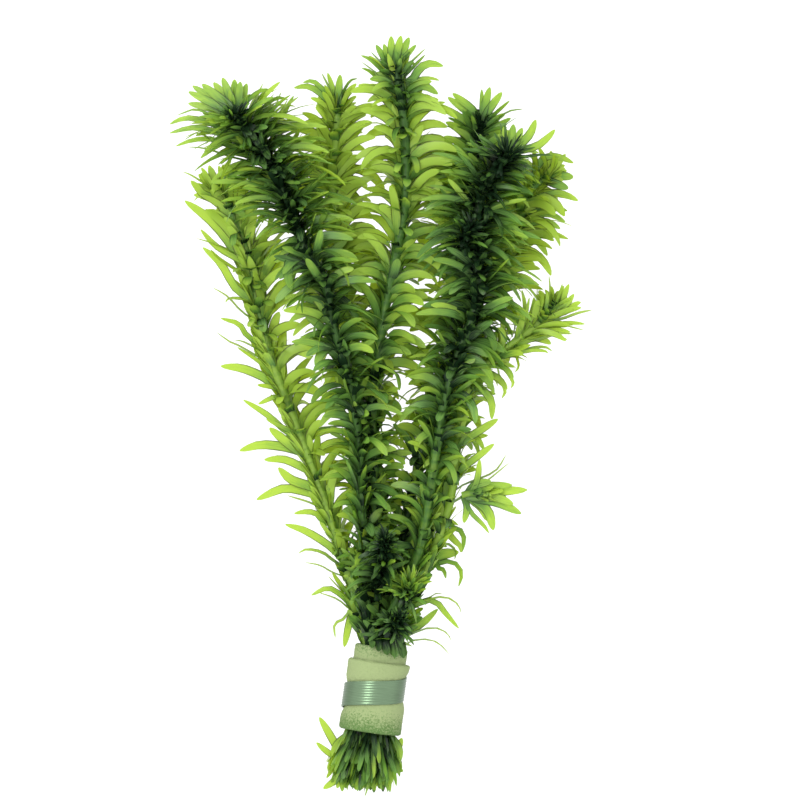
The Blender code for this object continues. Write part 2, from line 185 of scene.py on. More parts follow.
# Below the sleeve narrow leaves are bent toward the cut end: their leans at root, shoulder and tip in degrees
# and their lengths in millimetres, each at two heights
CUT_GAP = 1.0 * MM
CUT_PLACES = (-28, -6)
CUT_LEANS = ((166, 156), (172, 164), (180, 183))
CUT_LENGTHS = (5, 18)
CUT_LEAF_WIDTH = 2.0
CUT_DISORDER = 1.0

# Outline of the lower bunch in millimetres: height, left edge, right edge. Leaves drawn at random stay
# inside it, pressed to their stem where they have to be; those that stand out have places of their own
OPEN_SIDE = 200
BODY_OUTLINE = [
    (12, -9, 12), (28, -8.5, 18), (38, -10.5, 20), (44, -13, 22.5), (51, -15.5, 26), (58, -18, 29.5),
    (64, -21, 32), (78, -25, 36), (91, -30, 42), (103, -34.5, 46), (114, -40, 60), (122, -42, OPEN_SIDE),
    (138, -47.5, OPEN_SIDE), (150, -50, OPEN_SIDE), (165, -60, OPEN_SIDE), (168, -OPEN_SIDE, OPEN_SIDE),
]
PRESSED_LEAN = (8.0, 14.0, 22.0)
PRESSED_LENGTH = 0.55
PRESSED_ROLL = 0.5

# How far a leaf's random lean reaches at its root, shoulder and tip, and the least share of it in a bud
LEAN_SHARES = (0.5, 1.0, 1.4)
LEAST_WANDER = 0.4

# A leaf's blade turns part of the way to lie level or stand on edge, unless the leaf or its stem is steeper
# than these shares of level
TURN_SHARES = (0.7, 1.0)
LEAST_TURN = 0.6
LEVEL_LEAF = 0.4
LEVEL_STEM = 0.6

# Random spreads: turns round the stem, roll of blades that keep a side up and of the others, twist at the
# tip, sideways swing as a share of the length, width and brightness
WHORL_TURN_SPREAD = 0.1
LEAF_TURN_SPREAD = 0.15
STEADY_ROLL = 0.2
FREE_ROLL = 0.5
TWIST_SPREAD = 0.35
SWING_SPREAD = 0.08
WIDTH_SPREAD = 0.07
TONE_SPREAD = 0.12
LAID_TONE_SPREAD = 0.06

# Leaf blade: share of the length, share of the full width
BLADE_OUTLINE = [
    (0.0, 0.62),
    (0.08, 0.76),
    (0.2, 0.91),
    (0.34, 0.99),
    (0.48, 1.0),
    (0.62, 0.97),
    (0.75, 0.88),
    (0.86, 0.72),
    (0.94, 0.5),
    (1.0, 0.16),
]
ROWS = np.array([place for place, _ in BLADE_OUTLINE])

# Blade thickness and keel as shares of its width, shares of its length where its leans are given and where
# its turn is reached, and its root's distance from the stem's middle as a share of the stem's radius
BLADE_THICKNESS = 0.05
BLADE_KEEL = 0.06
LEAN_PLACES = (0.0, 0.28, 1.0)
TURN_REACH = 0.3
ROOT_RADIUS = 0.8

# Gap under leaves that lie on the table, largest angle of a smooth edge, and the step in the grain from one
# leaf to the next
TABLE_GAP = 0.15 * MM
SMOOTH_UP_TO = math.radians(60)
GRAIN_SHIFT = 7.3

# A shoot: seat is its angle in the sleeve, or "middle", or None for a side shoot; cut is how far it ends
# below the sleeve's middle; stem is its radius; stalk and bud are the brightness of the stem and of the tip,
# painted light and shade for how densely leaves cover them; route is (right, up the bunch, above the table)
# beyond the sleeve, in millimetres
Shoot = namedtuple("Shoot", "name slot seat cut stem stalk bud route habit")

# The leaves of a shoot at a distance down from its tip: gap between whorls, leaf length and width in
# millimetres, lean from the stem at the leaf's shoulder and tip in degrees, share of leaves that lie level,
# share by which leaves on the upper side are swept to the nearer side, and brightness, which is painted light
# and shade for how densely the leaves lie over one another
Habit = namedtuple("Habit", "down gap length width shoulder tip flat swept tone")

SHOOTS = [
    Shoot(
        "shoot_left_rear", "leaf_bright", 192, 30.0, 1.6, 1.15, 1.1,
        [(-4.4, 22, 8.8), (-6.6, 32, 8.6), (-9.2, 42, 8.8), (-13, 53, 9.2), (-18.7, 70, 9.4),
         (-22.6, 80.5, 9.4), (-27.5, 93, 9.4), (-33.6, 109, 9.2), (-38.5, 127, 9), (-41.6, 144, 8.8),
         (-45.8, 156, 8.6), (-49.2, 163.5, 8.4), (-53, 169.5, 8.2)],
        [(0, 1.5, 14, 3, 30, 50, 0.8, 0.5, 1.0), (15, 1.8, 17, 3.6, 24, 38, 0.9, 0.6, 1.06),
         (46, 2, 17, 3.5, 24, 38, 0.9, 0.6, 1.0), (62, 2.4, 17.5, 3.7, 50, 98, 0.8, 0.8, 1.3),
         (100, 2.9, 16, 3.5, 56, 104, 0.75, 0.7, 1.2), (130, 3.4, 14, 3.2, 50, 96, 0.6, 0.5, 1.05)],
    ),
    Shoot(
        "shoot_left_front", "leaf_dark", 140, 28.8, 1.5, 0.5, 0.0,
        [(-2.4, 26, 15.2), (-3.2, 44, 18), (-4.2, 64, 20.5), (-5, 83, 23), (-6.6, 97, 25),
         (-10.6, 113, 27), (-14, 124, 28), (-16.4, 137, 28.5), (-22.6, 148.5, 29), (-27.4, 160, 29.5),
         (-32, 171.5, 30), (-37, 181, 31.5), (-41.8, 187.5, 34), (-45, 190.6, 38.5),
         (-46, 191.4, 43.5)],
        [(0, 0.4, 5, 1.6, 60, 90, 0.1, 0, 0.1), (5, 0.55, 10, 2, 56, 80, 0.1, 0, 0.5),
         (10, 0.52, 19, 2.4, 56, 74, 0.02, 0.6, 0.72), (44, 0.55, 20, 2.4, 62, 84, 0.05, 0.7, 0.58),
         (58, 1.2, 16.5, 3, 74, 98, 0.3, 0.5, 0.6), (110, 1.8, 14, 3, 66, 112, 0.4, 0.3, 0.66),
         (160, 3, 13, 3, 60, 116, 0.4, 0, 0.66)],
    ),
    Shoot(
        "shoot_left_middle", "leaf_bright", 243, 31.0, 1.6, 1.6, 1.2,
        [(-0.6, 26, 6.6), (-1.2, 44, 7.6), (-2.2, 71, 9), (-4, 96, 9.6), (-7.3, 121, 10.4),
         (-10.2, 134, 11), (-11.8, 146, 11.6), (-12.4, 156, 12.2), (-13.8, 167, 12.8),
         (-13.3, 178, 13.4), (-12.6, 188, 14), (-12, 196.5, 14.6)],
        [(0, 1.2, 13, 2.6, 36, 64, 0.6, 0.75, 0.9), (10, 2.2, 17, 3.4, 42, 92, 0.85, 0.8, 1.3),
         (60, 3, 18.5, 3.6, 46, 104, 0.9, 0.8, 1.5), (110, 3, 14, 3.3, 54, 118, 0.6, 0.4, 0.95),
         (150, 3.2, 13, 3, 50, 116, 0.4, 0.2, 0.66)],
    ),
    Shoot(
        "shoot_centre", "leaf_mid", "middle", 30.6, 1.7, 0.6, 0.34,
        [(1.9, 26, 11.4), (1.3, 44, 13), (0.1, 71, 15.4), (-0.6, 91, 17), (0.3, 104, 17.6),
         (3.0, 124, 18.2), (5.2, 136, 18.4), (8, 149, 18.6), (10.2, 162, 18.8), (10.7, 174, 19),
         (10, 189, 19.4), (8.6, 201, 20), (6.8, 209.6, 20.6)],
        [(0, 0.9, 10, 2.2, 36, 56, 0.5, 0.5, 0.34), (8, 1.2, 13, 2.8, 42, 74, 0.6, 0.5, 0.72),
         (20, 2.2, 17.5, 3.4, 42, 92, 0.75, 0.75, 1.05), (70, 2.4, 17.5, 3.5, 48, 98, 0.7, 0.6, 1.0),
         (100, 2.5, 17, 3.5, 52, 108, 0.5, 0.3, 0.74), (150, 2.7, 13.5, 3, 58, 116, 0.4, 0.1, 0.62)],
    ),
    Shoot(
        "shoot_right_middle", "leaf_mid", 293, 29.6, 1.4, 0.2, 0.1,
        [(4.7, 24, 6.4), (7, 36, 7), (10, 52, 8.2), (13.7, 71, 9.6), (18.7, 91, 10.6), (24, 111, 11.4),
         (27.2, 128, 11.8), (29.3, 144, 12), (31.3, 161, 12), (33.2, 174, 12.4), (34.6, 183.5, 13),
         (36.2, 191.5, 13.6)],
        [(0, 0.7, 8, 2.2, 36, 50, 0.5, 0.3, 0.3), (9, 0.7, 15, 2.8, 50, 74, 0.6, 0.4, 0.56),
         (18, 0.9, 18, 3.2, 54, 84, 0.7, 0.5, 0.74), (60, 1.9, 17, 3.4, 54, 98, 0.6, 0.5, 0.84),
         (120, 2.5, 14, 3.1, 60, 116, 0.4, 0.2, 0.7)],
    ),
    Shoot(
        "shoot_right_front", "leaf_dark", 88, 29.0, 1.7, 0.65, 0.0,
        [(4.4, 23, 16.2), (9, 33, 18.4), (14.6, 46, 20.6), (17.3, 57.7, 22), (19, 68.5, 23),
         (20.7, 81, 24), (22.3, 91, 24.6), (24.5, 101.5, 25.2), (28, 113.5, 25.8), (32.4, 123.5, 26.4),
         (34.8, 133, 27), (34.4, 143, 27.6), (33.6, 152, 28.2), (34.4, 160, 29), (37, 168, 30.4),
         (40.8, 174.6, 33), (43.6, 177.8, 37), (44.4, 178.8, 41.5)],
        [(0, 0.35, 9, 1, 60, 84, 0.1, 0, 0), (7, 0.45, 13, 1.3, 60, 84, 0.1, 0.2, 0.16),
         (14, 0.55, 17, 2, 66, 90, 0.1, 0.6, 0.48), (40, 0.55, 17, 2.4, 72, 98, 0.12, 0.7, 0.5),
         (76, 1.3, 16, 3, 74, 108, 0.3, 0.5, 0.56), (105, 2.4, 13.5, 3.1, 66, 120, 0.35, 0.5, 0.68),
         (130, 3.4, 12.5, 3, 60, 120, 0.4, 0.6, 0.76), (160, 5, 12, 2.8, 50, 104, 0.3, 0.5, 0.76)],
    ),
    Shoot(
        "shoot_right_rear", "leaf_bright", 344, 28.4, 1.5, 1.6, 1.2,
        [(8.6, 23, 8.4), (12.4, 33, 8.2), (16.6, 45, 8.6), (21.2, 63, 9), (25.3, 84, 9.2),
         (29.7, 101, 9.2), (35.3, 118, 9), (40.7, 134, 9), (44.6, 147, 9), (48, 158, 9),
         (51.6, 166.6, 9), (55.8, 171.6, 9), (59.6, 173.4, 9)],
        [(0, 0.9, 13, 2.8, 34, 54, 0.85, 0.6, 1.3), (10, 1.4, 17, 3.4, 46, 68, 0.9, 0.6, 1.4),
         (30, 2, 16.5, 3.2, 50, 80, 0.8, 0.6, 1.2), (46, 3, 13, 2.5, 48, 84, 0.5, 0.5, 0.95),
         (110, 4.4, 14, 2.6, 54, 100, 0.4, 0.4, 0.8), (160, 6, 13, 3, 50, 96, 0.4, 0.3, 0.66)],
    ),
    Shoot(
        "shoot_right_outer", "leaf_mid", 36, 27.6, 1.4, 1.4, 1.1,
        [(8.6, 22, 13.6), (12.4, 31, 14.8), (18.2, 44, 16.4), (23.6, 57.5, 17.4), (26.6, 70, 18),
         (27.6, 81, 18.2), (28.4, 90.5, 18.4), (30.4, 99, 18.6), (34.6, 106.5, 19), (40.6, 112, 19.4),
         (47, 117, 19.4), (53, 121.6, 19), (57.4, 126, 18.4), (60.6, 130.4, 17.8)],
        [(0, 1.1, 11, 2.4, 20, 34, 0.6, 0.5, 1.0), (10, 2.4, 13.5, 2.6, 28, 54, 0.6, 0.5, 1.25),
         (60, 4.2, 12, 2.3, 38, 96, 0.4, 0.3, 0.9), (120, 5.4, 12, 2.5, 45, 104, 0.4, 0.2, 0.7)],
    ),
]

SIDE_SHOOTS = [
    Shoot(
        "side_shoot_right", "leaf_bright", None, 0, 1.1, 1.5, 1.1,
        [(29.4, 66, 18.8), (32.4, 66.6, 19.4), (35, 66.3, 19.8), (38.5, 66, 20)],
        [(0, 1, 13, 3.2, 26, 50, 0.85, 0.3, 0.76), (20, 2.2, 14, 3.4, 34, 66, 0.85, 0.3, 0.76)],
    ),
    Shoot(
        "side_shoot_crown", "leaf_dark", None, 0, 1.1, 0.1, 0.0,
        [(30.4, 146, 29.6), (30, 149.5, 32.6), (30.8, 153, 36), (32.4, 156, 39.4)],
        [(0, 0.45, 7, 1.2, 50, 90, 0.1, 0, 0), (8, 0.6, 11, 1.7, 62, 100, 0.1, 0, 0.2)],
    ),
    Shoot(
        "side_shoot_rosette", "leaf_pale", None, 0, 1.1, 0.5, 0.85,
        [(9.4, 28.6, 21.2), (10.6, 31, 24), (11.4, 33.5, 26.4), (11.8, 35.5, 28)],
        [(0, 0.3, 15, 1.8, 46, 62, 0.3, 0, 0.7), (8, 0.4, 13, 1.9, 54, 70, 0.3, 0, 0.66)],
    ),
    Shoot(
        "side_shoot_dark", "leaf_dark", None, 0, 1.1, 0.1, 0.0,
        [(1.0, 31, 17.8), (1.6, 37.5, 21.4), (2.8, 44.5, 26.6), (3.5, 49, 31.6), (3.5, 51.4, 37)],
        [(0, 0.35, 6, 1.2, 60, 100, 0.1, 0, 0.04), (6, 0.5, 8, 1.5, 66, 100, 0.2, 0, 0.2),
         (16, 0.8, 10, 2, 60, 90, 0.3, 0, 0.4)],
    ),
    Shoot(
        "side_shoot_low", "leaf_dark", None, 0, 1.1, 0.1, 0.0,
        [(3.2, 18.6, 18.8), (5, 20.6, 22.4), (7.6, 23.4, 26.6), (9.2, 25.8, 31)],
        [(0, 0.35, 4, 1.2, 56, 100, 0.1, 0, 0), (5, 0.4, 6, 1.5, 70, 110, 0.2, 0, 0.14),
         (9, 0.4, 9, 1.8, 84, 112, 0.3, 0, 0.26)],
    ),
]

# Leaves that stand out of the bunch, laid one by one: width in millimetres, turn about the leaf's own line in
# degrees (0 lies level, 90 stands on edge), height of the tip above the root, then places (right, up the
# bunch) along the leaf from near its stem to its tip, all in millimetres
LAID_LEAVES = {
    "shoot_left_rear": [
        (1.6, 30, 2, (-35.7, 107.3), (-38.7, 110.7), (-45.7, 115.3)),
        (3.1, 0, 1, (-35.3, 104), (-37.7, 105.7), (-44.3, 108.3), (-51.3, 109)),
        (1.8, 20, 3, (-34, 102), (-39, 102.7)),
        (1.8, 20, 2, (-33, 98.7), (-38.7, 96.3)),
        (2.2, 10, 2, (-27, 85.7), (-29.7, 87.3), (-35.7, 92.7), (-43.7, 97.7)),
        (1.8, 20, 3, (-28, 87.3), (-36, 91.3)),
        (3.3, 0, 1, (-26, 81), (-35, 88.3)),
        (3.2, 0, 0, (-25.3, 80.3), (-28.7, 81.7), (-37.7, 82.7), (-45, 80.7)),
        (2.8, 0, 2, (-22, 74), (-29.7, 77.7), (-36.7, 77.7)),
        (3.3, 0, 3, (-22, 69), (-27.7, 71), (-32, 75)),
        (3.1, 0, 0, (-21, 66.3), (-24.3, 67.3), (-30.7, 68), (-39.3, 64.3)),
        (2.4, 74, 1, (-17.7, 61.3), (-21.3, 63.3), (-29, 65.7)),
        (2.1, 15, 1, (-17.3, 57.3), (-19.3, 59.7), (-22.7, 60.3), (-26.7, 59.7)),
        (2.7, 0, 0, (-10.3, 43.3), (-14.3, 48.3), (-22.7, 53.7), (-29.7, 56)),
        (2.4, 64, 1, (-13.3, 43.7), (-17.3, 46.7), (-22.7, 47.7), (-25.3, 46.3)),
        (2.2, 76, 1, (-10.3, 38.7), (-14, 40), (-18, 42.3), (-23, 43.3)),
        (1.7, 20, 2, (-8.7, 33), (-11.3, 36), (-14, 40)),
        (2.2, 76, 2, (-8.7, 31.3), (-11.3, 34.3), (-15.3, 38.7)),
        (2, 15, 0, (-7.7, 28.7), (-10.3, 31.7), (-15.3, 34.7), (-21, 32.3)),
        (2.2, 76, 1, (-8.3, 27.7), (-12.3, 31), (-18.7, 33.3)),
        (2.4, 66, 0, (-10.3, 24.3), (-13.3, 22.7), (-13, 18)),
        (2.5, 0, 0, (-7.7, 25.7), (-10, 15)),
        (2.4, 72, 1, (-55.3, 169.3), (-61.3, 173), (-64, 174)),
        (2.8, 0, 2, (-56.7, 166.3), (-59.3, 169), (-61.3, 171)),
        (2.4, 70, 1, (-57.3, 166), (-59, 165.7), (-60.3, 164.3)),
        (3.4, 0, 1, (-46.3, 147.3), (-50.3, 153), (-55.7, 158.7), (-63.3, 164.3)),
        (2.2, 10, 2, (-46, 145), (-52.7, 149), (-58, 154.7)),
        (2.4, 74, 2, (-50.3, 148.7), (-54.3, 150.3), (-59.3, 151.7)),
        (2.8, 0, 1, (-46, 134.7), (-51.3, 143.3), (-57.3, 148.7)),
        (2.2, 60, 3, (-44.7, 140.3), (-51.7, 145), (-54.7, 148)),
        (2.4, 74, 1, (-44.3, 127.3), (-49, 132.3), (-54, 135.3)),
        (2.6, 64, 1, (-41.7, 131), (-45, 131.7), (-48.7, 131.7), (-49.7, 130.3)),
        (2, 20, 1, (-42.3, 119), (-45, 123), (-48.7, 124.3), (-51.3, 125)),
        (2.4, 74, 1, (-44.5, 115.5), (-48, 117), (-52.7, 120.3)),
        (2.4, 74, 2, (-43.3, 117), (-46.7, 117.7)),
        (2.2, 10, 1, (-12.3, -22.7), (-16.5, -19.5), (-19.3, -17)),
        (2.8, 0, 2, (-12.5, -18.5), (-16, -12.3), (-18.3, -8.5)),
        (2.4, 0, 0, (-11.5, -27), (-13.5, -30), (-17, -32.5)),
        (2.8, 0, 1, (-9.6, -15.5), (-12.2, -20), (-12.8, -27)),
        (2.6, 0, 2, (-9.8, -15.2), (-12.8, -18), (-14, -21.4)),
        (2.6, 20, 1, (-9.5, -19), (-11.6, -25), (-12, -30.5)),
        (2.4, 10, 1, (-8.5, -24), (-9.5, -29), (-12, -31.6)),
    ],
    "shoot_left_front": [
        (2.9, 0, -4, (-47.5, 193), (-61.3, 199.7)),
        (2.9, 0, -5, (-47.5, 193.5), (-60, 201.7)),
        (3.3, 0, -3, (-47, 194), (-56.8, 202.2)),
        (3.2, 0, -6, (-46.5, 194.5), (-53.1, 202.9)),
        (3, 0, -4, (-46.3, 194.5), (-50.1, 204.4)),
        (3.2, 0, -6, (-46, 194.5), (-46.2, 203.9)),
        (3, 0, -3, (-45, 194.5), (-44.2, 203)),
        (2.8, 0, -5, (-44.5, 194), (-42.1, 202.5)),
        (2.9, 0, -7, (-48, 193), (-61.5, 196)),
        (2.2, 66, -4, (-48, 189.5), (-58, 193.7), (-61.3, 193.3), (-65, 192)),
        (2.2, 10, -5, (-47, 187), (-55.3, 190), (-61.3, 191.3), (-64.7, 190.7), (-67.7, 189.3)),
        (2.2, 10, -2, (-45, 183), (-50, 185.7), (-56.3, 187.7), (-61.3, 188), (-67.7, 186.3)),
        (2, 20, -2, (-44, 181), (-54, 184.3), (-58, 184.3), (-61.3, 183.7), (-65.7, 182)),
        (2.2, 70, -2, (-46, 181), (-54, 184), (-58, 186.5), (-62.7, 185)),
        (2.2, 70, -1, (-46, 178), (-54, 180.7), (-58, 181.5), (-62, 181.7)),
        (1.7, 20, 0, (-43, 195.5), (-38.7, 199.3), (-36.3, 200.3), (-33.3, 199.7)),
        (1.7, 20, 0, (-38, 192), (-34.7, 196.5), (-31.3, 198), (-28.7, 197.3)),
        (2.4, 10, 0, (-38.5, 190), (-36, 194.7), (-35, 197.5)),
    ],
    "shoot_left_middle": [
        (2.7, 0, 1, (-12, 199), (-11.3, 206.3)),
        (2, 20, 1, (-12.6, 198), (-14.2, 203), (-15.5, 206.9)),
        (2.4, 70, 0, (-13, 197), (-15, 202), (-17.5, 206.9)),
        (1.9, 15, 0, (-13.5, 198), (-18, 202.3), (-20.7, 204.3), (-23.7, 203.7)),
        (2.3, 0, -1, (-13.5, 195.5), (-17.7, 200), (-22, 202.5), (-26.7, 202)),
        (2.4, 66, 0, (-11, 199), (-9, 203), (-7.5, 204.7), (-5.5, 205)),
    ],
    "shoot_centre": [
        (2.8, 0, 0, (6, 212), (5.7, 218.9)),
        (2.8, 0, 1, (7.5, 212), (9, 219)),
        (2.8, 0, 0, (8.5, 211), (11.7, 218.5)),
        (2, 15, 0, (9, 210.5), (14, 216)),
        (2.4, 15, 0, (5, 211), (3.3, 216.3)),
        (2.4, 15, 0, (4.5, 210), (0.7, 216)),
        (2.4, 72, 0, (4.5, 208), (-1, 213.7)),
        (2, 40, 0, (4.5, 206), (-1, 211), (-4.3, 212.5)),
        (2.4, 74, 0, (4.5, 204), (-4, 210.3)),
        (2, 40, 0, (4.5, 202), (-1, 207), (-4, 208.3)),
        (2.4, 74, 0, (10, 208), (17, 214.7)),
        (2.2, 60, 0, (10.5, 206), (17, 212.7)),
        (2.9, 0, 0, (10, 203), (12.7, 204.3), (15.3, 208.3), (18.7, 209.9), (23, 209)),
        (2.9, 0, 0, (10.3, 197), (13.5, 201.3), (17, 202.3), (21.3, 199.7)),
    ],
    "shoot_right_middle": [
        (2.9, 0, 0, (36.8, 195), (38.7, 202.2)),
        (2.9, 0, 0, (38, 194), (42.7, 200.5)),
        (2, 30, 0, (36, 195), (36, 201.5)),
        (2.8, 0, 0, (33.5, 194), (26.3, 200.2)),
        (2.7, 0, -1, (33, 192.5), (24.7, 198.9)),
        (2.7, 0, -1, (31, 190.5), (21.3, 196.7)),
        (2, 50, 0, (39.5, 192.5), (45.3, 197.7)),
        (2.2, 74, 0, (40, 190), (44.5, 194), (50, 195)),
        (2.2, 20, 0, (39, 188), (45.7, 191.9)),
    ],
    "shoot_right_rear": [
        (2.5, 0, 1, (54, 174), (57, 179), (62, 179), (66.7, 177)),
        (3.1, 0, 0, (60.5, 173), (66.7, 172.3)),
        (3.1, 0, 1, (59.5, 170.5), (65, 168.5)),
        (2, 15, 1, (56.5, 166), (62, 167.3), (66, 164.7)),
        (2.2, 10, 0, (51, 159), (57, 162), (60.3, 162.3), (64.7, 161)),
        (2.5, 0, 0, (49, 155), (53.7, 159.3), (58.7, 160), (64, 157.3)),
        (2.8, 0, 1, (47, 152), (52, 157), (58, 157.3), (62.3, 155)),
        (2.2, 15, 0, (45.5, 148), (50.3, 152.7), (55.3, 152.7), (59, 151.7)),
        (2.8, 0, 0, (45, 146), (52, 151.7), (55.3, 150.3), (58, 146)),
        (2, 20, 1, (43.5, 143), (47, 147.5), (53.7, 146.7)),
        (3.1, 0, 0, (42.5, 140), (47, 145), (54.3, 145)),
        (2, 20, 0, (26, 55.3), (28.3, 54.7), (30, 52), (30, 49.7), (29.3, 46.7)),
        (2.4, 0, 1, (25.7, 52), (28.7, 49), (29, 46.7)),
        (2.4, 66, 0, (19.7, 47), (23, 49.7), (25.7, 49), (27.3, 47), (27, 44.3)),
        (3.8, 0, 0, (19.3, 44), (23, 46), (28.3, 46.7)),
        (1.9, 30, 1, (21, 42.7), (25.3, 43.7), (28.3, 42), (29.3, 39), (28.3, 35.3)),
        (1.8, 15, 2, (21.7, 41.3), (23.3, 41), (24, 38)),
        (2.4, 0, 0, (3.5, -22), (6.5, -25), (9.7, -26.7)),
        (2.6, 0, 1, (5, -19.5), (8, -18.5), (9.3, -15.5)),
        (2.6, 0, 1, (5.5, -15), (8.4, -19), (8.6, -23.5)),
        (2.6, 20, 1, (5, -19), (8, -23), (8.8, -27)),
    ],
    "shoot_right_outer": [
        (2.2, 70, 3, (58.7, 128.7), (58.7, 134.7), (58.3, 139)),
        (1.6, 20, 4, (57, 127), (57.7, 130.3), (57.7, 133.7)),
        (2.2, 60, 3, (60.3, 128.7), (62, 133.3), (62.7, 136.3)),
        (2.1, 10, 1, (62.3, 128.7), (63.7, 133.3), (65, 136.3)),
        (2.1, 0, 1, (63.3, 128.7), (66.7, 133)),
        (2.4, 0, 0, (63.3, 127), (67.3, 129.7), (69, 130.3)),
        (2.4, 66, 0, (62.3, 124.7), (68, 126.7), (72.7, 127.7)),
        (1.7, 20, -1, (58.7, 121.3), (63.3, 123.3), (67.7, 123.3), (70.3, 123)),
        (2.2, 74, -1, (63, 122.7), (66, 122), (70, 121)),
        (2.2, 62, 0, (52.7, 117.3), (58.3, 119), (61.7, 120), (66, 119.7)),
        (2.2, 60, 0, (49.3, 114.3), (54, 115.3), (57.3, 115.3), (59.3, 114)),
        (1.6, 30, 1, (49.3, 113.7), (52.7, 114.3), (57, 114), (58, 113.3)),
        (2.8, 0, 2, (52.7, 121.7), (54, 127.7), (54.7, 131)),
        (2.2, 66, 1, (55.7, 127.7), (55, 130.7), (51.7, 135), (49, 136.7)),
        (1.7, 30, 2, (49.7, 121.3), (50.3, 128.7), (49.3, 134.3)),
        (1.6, 40, 3, (49, 119.3), (50.7, 126), (51.7, 131.7)),
        (1.9, 0, 1, (43, 118), (43, 126), (43.3, 131)),
        (1.5, 40, 2, (47.7, 118), (47.7, 122.3)),
        (2.2, 66, 1, (47, 114), (48.3, 109), (47, 107)),
        (1.6, 20, 1, (43, 108.5), (46.3, 103.7), (45.7, 101.7)),
        (1.6, 20, 0, (41, 106), (43.7, 101), (42.7, 98.3)),
        (2.7, 0, 1, (31.3, 100), (34.3, 102.3), (39, 97.7), (39.3, 91.3)),
        (2.8, 0, 1, (29.3, 83.7), (41.3, 91.3)),
        (2.5, 0, 2, (28.7, 74.3), (40, 83)),
        (2.4, 72, 1, (30, 69.5), (40, 73.7), (44, 79.3)),
        (2.4, 74, 2, (30, 66), (36.3, 69.7), (45, 76.7)),
    ],
    "side_shoot_right": [
        (3.3, 0, 1, (32, 65.8), (42, 67.2), (51, 67.7)),
        (3, 10, 2, (31, 66.6), (37, 68.8), (46, 69.3)),
        (3.3, 0, 2, (31, 66), (34, 69.4), (39, 70.6)),
        (3.3, 0, 1, (32.5, 65), (41, 63.6), (49, 59.8)),
        (3.2, 0, 2, (32, 65.4), (40, 65.4), (46.4, 63)),
        (3.2, 0, 0, (33, 65.6), (38, 66.2), (44, 65.4)),
        (3.4, 0, 0, (33.5, 64.6), (38, 60.6), (39.8, 54.3)),
        (3, 10, -1, (32.5, 64.5), (36, 61.6), (37.8, 57.4)),
        (2.2, 0, 2, (33, 67.5), (34.6, 72), (35.2, 77.8)),
        (1.7, 20, -2, (32.3, 60.3), (34.7, 57.7), (36.7, 55.7), (38.3, 53.3)),
        (2.4, 0, -1, (31, 62), (30, 56.7)),
    ],
    "shoot_right_front": [
        (3, 0, -5, (45, 180.5), (46.3, 189)),
        (2.8, 0, -6, (44, 181), (43.2, 188.3)),
        (2.8, 0, -4, (46, 181), (49.2, 187.8)),
        (3, 0, -6, (46.5, 180.5), (51.5, 185.5), (53.7, 190.6)),
        (2.7, 0, -5, (47.5, 180), (54, 181.8), (58, 185), (60, 187.3)),
        (2.8, 0, -7, (43, 180.5), (41.5, 186)),
        (2.4, 74, -2, (17.7, 31.3), (20.3, 33), (22.7, 33)),
        (2.4, 70, -3, (18, 31), (23, 32), (26, 31), (28.3, 29), (29, 26.7)),
        (2.2, 10, -5, (18.7, 31), (21.7, 29.3), (24, 26.3), (28.3, 21.3)),
        (2.4, 72, -4, (15.3, 20.7), (17.3, 21.3), (21.7, 21.3), (24.7, 19.3), (25.7, 17.3)),
        (2.4, 74, -5, (13, 17.3), (18, 17.5), (21, 16.7), (23, 15), (25, 12.7)),
        (2.8, 0, -3, (14.5, 22), (21.3, 27.7)),
    ],
    "side_shoot_low": [
        (2.6, 15, 3, (-0.5, 18), (-0.5, 16.5), (-0.6, 15)),
        (2.6, 20, 3, (1.5, 18), (1.6, 15.5), (1.8, 14)),
        (3, 10, 3, (3, 18), (4, 15), (4.6, 12.8)),
        (2.6, 30, 2, (4.5, 17), (6, 14), (6.6, 12.4)),
        (3, 10, 1, (5.5, 18), (6.8, 14.5), (7.6, 12)),
        (3, 0, 0, (7.5, 18), (9, 14.5), (10, 11.6)),
        (2.6, 15, -1, (8.5, 17.5), (10, 14), (10.6, 12.2)),
    ],
}

# A listed leaf whose line runs this far against its stem's direction is bent back toward the cut end
BENT_BACK = -0.5

# Brightness of the laid leaves, and of those on shoots that differ, painted light and shade for how open or
# crowded they lie
LAID_TONE = 0.62
LAID_TONES = {
    "shoot_left_rear": 0.9,
    "shoot_right_outer": 0.88,
    "side_shoot_right": 0.72,
    "shoot_right_front": 0.74,
    "side_shoot_low": 0.16,
}

# Leaf tissue from the dense shade inside a bud to an open leaf: colour of the lit face, and colour of the
# light that comes through one leaf face
LEAF_FACES = ("1C341C", "5E8640", "9AB848")
LEAF_GLOWS = ("1E3A1E", "B2D45C", "D8E664")

# Stem tissue in the same order
STEM_FACES = ("1A341A", "4C7430", "8AAA42")
STEM_GLOWS = ("1C3A1C", "7CA844", "BADC5A")

# Share of the light that comes through each
LEAF_THROUGH = 0.5
STEM_THROUGH = 0.45
FOAM_THROUGH = 0.4

# A leaf's margin darkens from a share of the half width on, painted shade for its curled edge; its base
# darkens over a share of the length, painted shade where the leaves crowd at the stem, and its tip gets a
# little painted light; a leaf of full tone has the last colour
MARGIN_FROM = 0.7
MARGIN_SHADE = 0.15
BASE_REACH = 0.75
BASE_SHADE_TIP_LIGHT = (-0.5, 0.1)
FULL_TONE = 0.9

# Plant tissue is covered by a film of water
WATER_IOR = 1.33

# The glowing table's own face, its radius in metres, and the soft lamp's place and size
TABLE_FACE = "595959"
TABLE_RADIUS = 6.0
LAMP_PLACE = (-0.7, 0.5, 1.6)
LAMP_SIZE = 0.6

# Camera: width of its sensor in millimetres, height at which the view's width is measured, nearest and
# furthest distance
SENSOR_WIDTH = 36
VIEW_PLANE = 20 * MM
CLIP_RANGE = (0.1, 20)


def linear(code):
    """Turn an sRGB hex colour into linear red, green, blue and a full alpha."""
    values = []
    for start in (0, 2, 4):
        share = int(code[start:start + 2], 16) / 255
        values.append(share / 12.92 if share <= 0.04045 else ((share + 0.055) / 1.055) ** 2.4)
    return (*values, 1.0)


